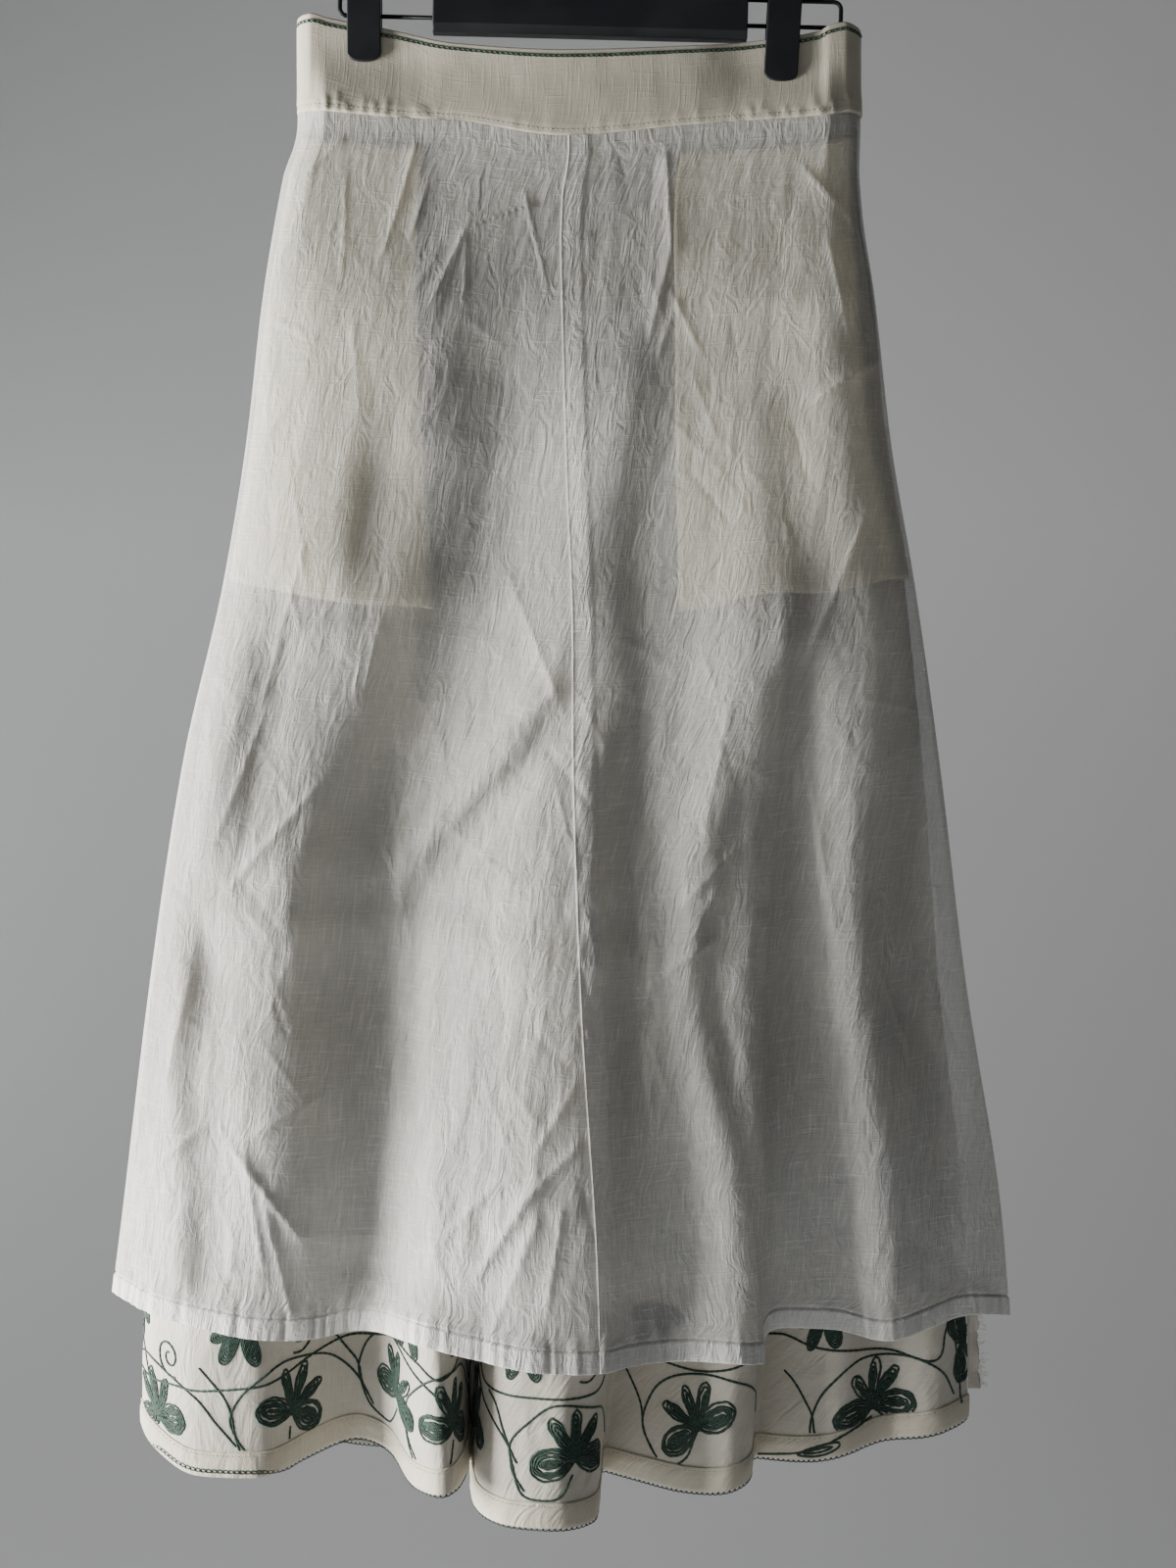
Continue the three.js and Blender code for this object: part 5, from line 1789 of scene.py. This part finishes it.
    def stitch_lines(self, maker: MeshMaker, lines: Sequence[Array], radius: float, above: float) -> None:
        """Lays each line on the cloth as a thread, evenly spaced, and leaves out what the hem band hides.

        Args:
            maker: where the threads go.
            lines: rows of run along the hem and height over it.
            radius: the thread's.
            above: the height above which a line is kept.
        """
        for line in lines:
            run = np.concatenate([[0], np.cumsum(np.hypot(*np.diff(line, axis=0).T))])
            even = np.linspace(0, run[-1], max(int(run[-1] / self.step), 3))
            s, h = np.interp(even, run, line[:, 0]), np.interp(even, run, line[:, 1])
            kept = np.flatnonzero(h > above)
            for part in np.split(kept, np.flatnonzero(np.diff(kept) > 1) + 1):
                if len(part) < 3:
                    continue
                path, out = self.skirt.place(s[part], h[part], 0.2)
                thick = radius * (0.72 + 0.28 * np.abs(np.sin(math.pi * even[part] / 4.2)))
                add_tube(maker, path, out, thick, sides=4, flat=0.6)

    def border(self, side: Side, low: float, high: float) -> bpy.types.Object:
        """Builds the threads of one half.

        Args:
            side: the half of the loop.
            low: the run along the hem where the half starts.
            high: the run where it ends.

        Returns:
            The threads as one piece.
        """
        petals, lines = [], [self.wave(low + 0.5, high - 0.5)]
        for k, flower in enumerate(self.flowers()):
            if not low <= flower.run < high:
                continue
            petals += self.flower_lines(flower, 100 + k)
            if flower.turn < 60:
                lines += self.stem_lines(flower, 200 + k)
            above = float(np.interp(flower.run, *self.wave(low, high).T)) + 10
            petals += self.bud_lines(flower.run - 38, above + 28, 300 + k)
            lines.append(self.spiral(flower.run + 8, above + 10, 12, -1 if k % 2 else 1))
        maker = MeshMaker()
        self.stitch_lines(maker, petals, self.petal_radius, self.hem_band)
        self.stitch_lines(maker, lines, self.line_radius, self.hem_band)
        if side is Side.FRONT:
            self.stitch_lines(maker, self.turned_lines(high), self.petal_radius, 0.5)
        return maker.build(f"embroidery_{side.value}", GREEN_THREAD)

    def turned_lines(self, end: float) -> list[Array]:
        """Returns the lines near the right side seam: over the turned hem, and up beside the seam."""
        branch = spline(np.array([(-150, 1.5), (-118, 5), (-92, 12), (-70, 16.5)]) + (end, 0))
        seam = spline(np.array([(-13, 128), (-14, 96), (-12, 60), (-8, 32), (-7, 12)]) + (end, 0))
        leaf = self.petal(28, 7, 82, 1.0, 0.6) + (end - 122, 3.2)
        vein = self.petal(26, 4, 82, 0.6, 0.6) + (end - 122, 3.4)
        return [branch, leaf, vein, seam]

    def hem_chain(self, side: Side, low: float, high: float) -> bpy.types.Object:
        """Builds the chain stitch under the hem's edge, which turns up into view near the left side seam.

        Args:
            side: the half of the loop.
            low: the run along the hem where the half starts.
            high: the run where it ends.

        Returns:
            The chain as one piece.
        """
        s = np.arange(low + 1, high - 1, 1.2)
        turned_up = smooth(s, 12, 34) * (1 - smooth(s, 96, 122))
        path, out = self.skirt.place(s, 0.1 + 3.4 * turned_up, 0.1 + 0.25 * turned_up)
        path[:, 2] -= 0.75 * (1 - turned_up)
        path -= out * (0.55 * (1 - turned_up))[:, None]
        maker = MeshMaker()
        add_links(maker, path, out, pitch=3.6, width=1.9, radius=0.42)
        return maker.build(f"hem_chain_{side.value}", GREEN_THREAD)

    def build(self) -> dict[Side, list[bpy.types.Object]]:
        """Builds the border, the chain at the hem and the hem's stitches, front and back apart."""
        t, total = self.skirt.hem_run()
        turn_back = float(np.interp(1.0, t, total))
        made = {}
        for side in Side:
            low, high = (0.0, turn_back) if side is Side.FRONT else (turn_back, total[-1])
            s = np.arange(low + 1, high - 1, 1.5)
            stitches = MeshMaker()
            path, out = self.skirt.place(s, np.full_like(s, self.skirt.stitch_line), 0.25)
            add_stitches(stitches, path, out, 2.3, 3.4, 0.24)
            made[side] = [self.border(side, low, high), self.hem_chain(side, low, high),
                          stitches.build(f"hem_stitches_{side.value}", CREAM_THREAD)]
            log.info("embroidery %s", side.value)
        return made


@dataclass
class SeamAllowance:
    """The right side seam's frayed allowance, which stands out near the hem."""

    garment: Garment
    width: float = 7.5
    clear: float = 0.6
    top: float = 0.9
    foot: float = 0.978
    drop: float = 845.0
    waves: float = 210.0
    rows: int = 70
    every: int = 3
    frays: int = 80

    def build(self) -> list[bpy.types.Object]:
        """Builds the strip with its uneven edge, and the loose threads along it."""
        v = np.linspace(self.top, self.foot, self.rows)
        root = self.garment.skirt.at(np.ones_like(v), v)
        rng = np.random.default_rng(12)
        knots = np.arange(0, self.rows, self.every)
        ragged = self.width + np.interp(np.arange(self.rows), knots, rng.uniform(-1.2, 0.6, len(knots)))
        share = np.linspace(0, 1, 6)
        outward = self.clear + share[None] * ragged[:, None]
        wave = 1.1 * np.sin(v * self.waves)[:, None] * share[None]
        points = np.stack([root[:, :1] + outward, root[:, 1:2] + wave, root[:, 2:] + 0 * outward], -1)
        half = np.array([0, 0.3, 0])
        maker = MeshMaker()
        down = (v * self.drop)[:, None]
        add_wall(maker, points - half, points + half, across=outward, down=down, cover=0.55)
        strip = maker.build("seam_allowance_right", SKIRT_COTTON, ["seam_allowance_right"])
        threads = MeshMaker()
        for row in rng.integers(1, self.rows - 1, self.frays):
            start = points[row, -1]
            reach = rng.uniform(1.5, 5)
            bend = rng.uniform(-2, 2, 3)
            w = np.linspace(0, 1, 5)[:, None]
            path = start + w * np.array([reach, 0, -0.6]) + w**2 * bend
            add_tube(threads, path, np.tile([0.0, -1.0, 0.0], (5, 1)), 0.13, sides=3)
        frayed = threads.build("frayed_threads", CREAM_THREAD)
        return [strip, frayed]


@dataclass
class Hanger:
    """The clip hanger: a flat bar, a wire loop with two clips on it, and a hook."""

    tilt: float = math.radians(1.45)
    bar_half: float = 100.0
    bar_top: float = -82.0
    gap: float = 0.3
    hook_wire: float = 3.6
    hook_bend: float = 22.0
    hook_from: float = -62.0
    hook_to: float = 178.0
    neck: float = 6.0
    loop_wire: float = 2.8
    reach: float = 159.5
    loop_top: float = -103.4
    loop_foot: float = -119.9
    corner: float = 5.0
    solids: tuple[str, ...] = ("hanger_bar", "clip_left_front", "clip_left_back", "clip_left_pivot",
                               "clip_right_front", "clip_right_back", "clip_right_pivot")

    def tilted(self, points: Array) -> Array:
        """Returns points turned about the hook's crown, the right end lower."""
        x, z = points[:, 0], points[:, 2]
        cos, sin = math.cos(self.tilt), math.sin(self.tilt)
        return np.stack([x * cos + z * sin, points[:, 1], z * cos - x * sin], -1)

    def wire(self, name: str, path: Array, diameter: float) -> None:
        """Builds a round wire along a path and lets it stand for the solid of the same name.

        Args:
            name: the piece's name and the solid's.
            path: its middle line, before the hanger is tilted.
            diameter: the wire's diameter.
        """
        maker = MeshMaker()
        path = self.tilted(path)
        add_tube(maker, path, np.tile([0.0, -1.0, 0.0], (len(path), 1)), diameter / 2, sides=16, flat=1.0)
        maker.build(name, WIRE, [name])

    def hook_path(self) -> Array:
        """Returns the hook's middle line: up from the bar, then an arc over the rail."""
        radius = self.hook_bend + self.hook_wire / 2
        angle = np.radians(np.linspace(self.hook_from, self.hook_to, 15))
        arc = np.stack([radius * np.cos(angle), 0 * angle, radius * np.sin(angle) - self.hook_bend], -1)
        foot = self.bar_top + self.gap
        return spline(np.concatenate([[(0, 0, foot), (0, 0, foot + self.neck)], arc]), 6)

    def loop_path(self, side: int) -> Array:
        """Returns one side of the wire loop: out along the bottom, round two corners and back.

        Args:
            side: -1 for the left, 1 for the right.
        """
        start = self.bar_half + self.gap
        inner = self.reach - self.corner
        bend = np.linspace(0, math.pi / 2, 8)
        low = np.stack([inner + self.corner * np.sin(bend), 0 * bend,
                        self.loop_foot + self.corner * (1 - np.cos(bend))], -1)
        high = np.stack([inner + self.corner * np.cos(bend), 0 * bend,
                         self.loop_top - self.corner * (1 - np.sin(bend))], -1)
        path = np.concatenate([[(start, 0, self.loop_foot)], low, high, [(start, 0, self.loop_top)]])
        return path * (side, 1, 1)

    def moulded(self, node: str, frame: dict) -> None:
        """Builds a moulded piece: a copy of its solid with merged points and softened edges.

        Args:
            node: the solid's name.
            frame: what the frame gives, with its solids by name.
        """
        mesh = frame["nodes"][node].data.copy()
        shape = bmesh.new()
        shape.from_mesh(mesh)
        bmesh.ops.remove_doubles(shape, verts=shape.verts, dist=1e-5)
        bmesh.ops.dissolve_limit(shape, angle_limit=math.radians(2), verts=shape.verts, edges=shape.edges)
        shape.to_mesh(mesh)
        shape.free()
        piece = bpy.data.objects.new(f"{node}_moulded", mesh)
        bpy.context.scene.collection.objects.link(piece)
        bevel = piece.modifiers.new("softened edges", "BEVEL")
        bevel.width, bevel.segments, bevel.limit_method = 0.7 * MM, 3, "ANGLE"
        bevel.angle_limit = math.radians(28)
        mesh.polygons.foreach_set("use_smooth", np.ones(len(mesh.polygons), bool))
        mesh.set_sharp_from_angle(angle=math.radians(35))
        dress(piece, PLASTIC, [node])

    def build(self, frame: dict) -> None:
        """Builds every piece of the hanger."""
        for node in self.solids:
            self.moulded(node, frame)
        self.wire("hanger_hook", self.hook_path(), self.hook_wire)
        self.wire("wire_left", self.loop_path(-1), self.loop_wire)
        self.wire("wire_right", self.loop_path(1), self.loop_wire)
        log.info("hanger")


# ---------- the studio ----------


@dataclass(frozen=True)
class Lamp:
    """A square soft light: its place, what it looks at, its size in metres, power and colour."""

    name: str
    place: Point
    target: Point
    size: float
    power: float
    colour: Colour

    def build(self) -> None:
        """Adds the light to the scene."""
        data = bpy.data.lights.new(self.name, "AREA")
        data.size, data.energy, data.color = self.size, self.power, self.colour
        lamp = bpy.data.objects.new(self.name, data)
        bpy.context.scene.collection.objects.link(lamp)
        back = np.array(self.place) - np.array(self.target)
        turn = Vector(back).to_track_quat("Z", "Y").to_matrix().to_4x4()
        lamp.matrix_world = Matrix.Translation(self.place) @ turn


@dataclass(frozen=True)
class Studio:
    """The camera, the lights, the pale world and the pale floor."""

    camera_place: Point = (-0.0044, -1.5, -0.605)
    focal_length: float = 54.1
    floor_drop: float = 0.9
    sweep_from: float = 2.4
    sweep_radius: float = 2.0
    reach: float = 6.0
    paint: Colour = (0.66, 0.67, 0.68)
    air: Colour = (0.88, 0.93, 1.0)
    air_strength: float = 0.035
    lamps: tuple[Lamp, ...] = (
        Lamp("window", (-2.0, -0.24, -0.80), (0.0, 0.0, -0.65), 1.1, 170.0, (1.0, 0.985, 0.95)),
        Lamp("room", (-0.6, -3.0, 0.6), (0.0, 0.0, -0.6), 2.4, 4.5, (0.94, 0.97, 1.0)),
        Lamp("behind", (1.2, 1.9, 0.4), (0.0, 0.0, -0.6), 1.2, 7.0, (0.95, 0.97, 1.0)),
        Lamp("sweep", (-3.2, 2.9, -2.0), (-1.7, 4.4, -1.9), 1.1, 125.0, (1.0, 1.0, 1.0)),
    )

    def build_camera(self) -> None:
        """Adds the camera, level and square to the skirt."""
        data = bpy.data.cameras.new("camera")
        data.lens, data.sensor_width = self.focal_length, 36
        camera = bpy.data.objects.new("camera", data)
        camera.location, camera.rotation_euler = self.camera_place, (math.radians(90), 0, 0)
        bpy.context.scene.collection.objects.link(camera)
        bpy.context.scene.camera = camera

    def build(self, lowest: float) -> None:
        """Adds the lights, the world and the floor, which lies below the hem.

        Args:
            lowest: the height of the object's lowest point, in metres.
        """
        for lamp in self.lamps:
            lamp.build()
        world = bpy.data.worlds.new("pale room")
        bpy.context.scene.world = world
        world.use_nodes = True
        backdrop = world.node_tree.nodes["Background"]
        backdrop.inputs["Color"].default_value = (*self.air, 1.0)
        backdrop.inputs["Strength"].default_value = self.air_strength
        self.build_floor(lowest - self.floor_drop)

    def build_floor(self, height: float) -> None:
        """Adds the floor, which sweeps up into a wall far behind: a line, a quarter circle and a line."""
        turn = np.linspace(0, math.pi / 2, 25)
        bend = np.stack([self.sweep_from + self.sweep_radius * np.sin(turn),
                         height + self.sweep_radius * (1 - np.cos(turn))], -1)
        profile = np.concatenate([[(-self.reach, height)], bend, [(bend[-1, 0], self.reach)]])
        points = [(side * self.reach, y, z) for y, z in profile for side in (-1, 1)]
        faces = [(2 * k, 2 * k + 1, 2 * k + 3, 2 * k + 2) for k in range(len(profile) - 1)]
        mesh = bpy.data.meshes.new("floor")
        mesh.from_pydata(points, [], faces)
        mesh.polygons.foreach_set("use_smooth", np.ones(len(faces), bool))
        pale = bpy.data.materials.new("pale floor")
        pale.use_nodes = True
        shader = pale.node_tree.nodes["Principled BSDF"]
        shader.inputs["Base Color"].default_value = (*self.paint, 1.0)
        shader.inputs["Roughness"].default_value = 0.95
        mesh.materials.append(pale)
        floor = bpy.data.objects.new("floor", mesh)
        bpy.context.scene.collection.objects.link(floor)
        floor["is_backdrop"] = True


def main() -> None:
    """Builds the studio and every piece of the skirt and its hanger."""
    logging.basicConfig(level=logging.INFO, format="%(message)s")
    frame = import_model()
    solid_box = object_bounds()
    studio = Studio()
    studio.build_camera()
    garment = Garment.make()
    outer = OuterSkirt(garment)
    trims = Embroidery(outer).build()
    trims[Side.BACK] += SeamAllowance(garment).build()
    outer.build(trims)
    PocketBags(garment).build()
    Lining(garment).build()
    Waistband(garment).build()
    Hanger().build(frame)
    studio.build(solid_box[0].z)


if __name__ == "__main__":
    main()
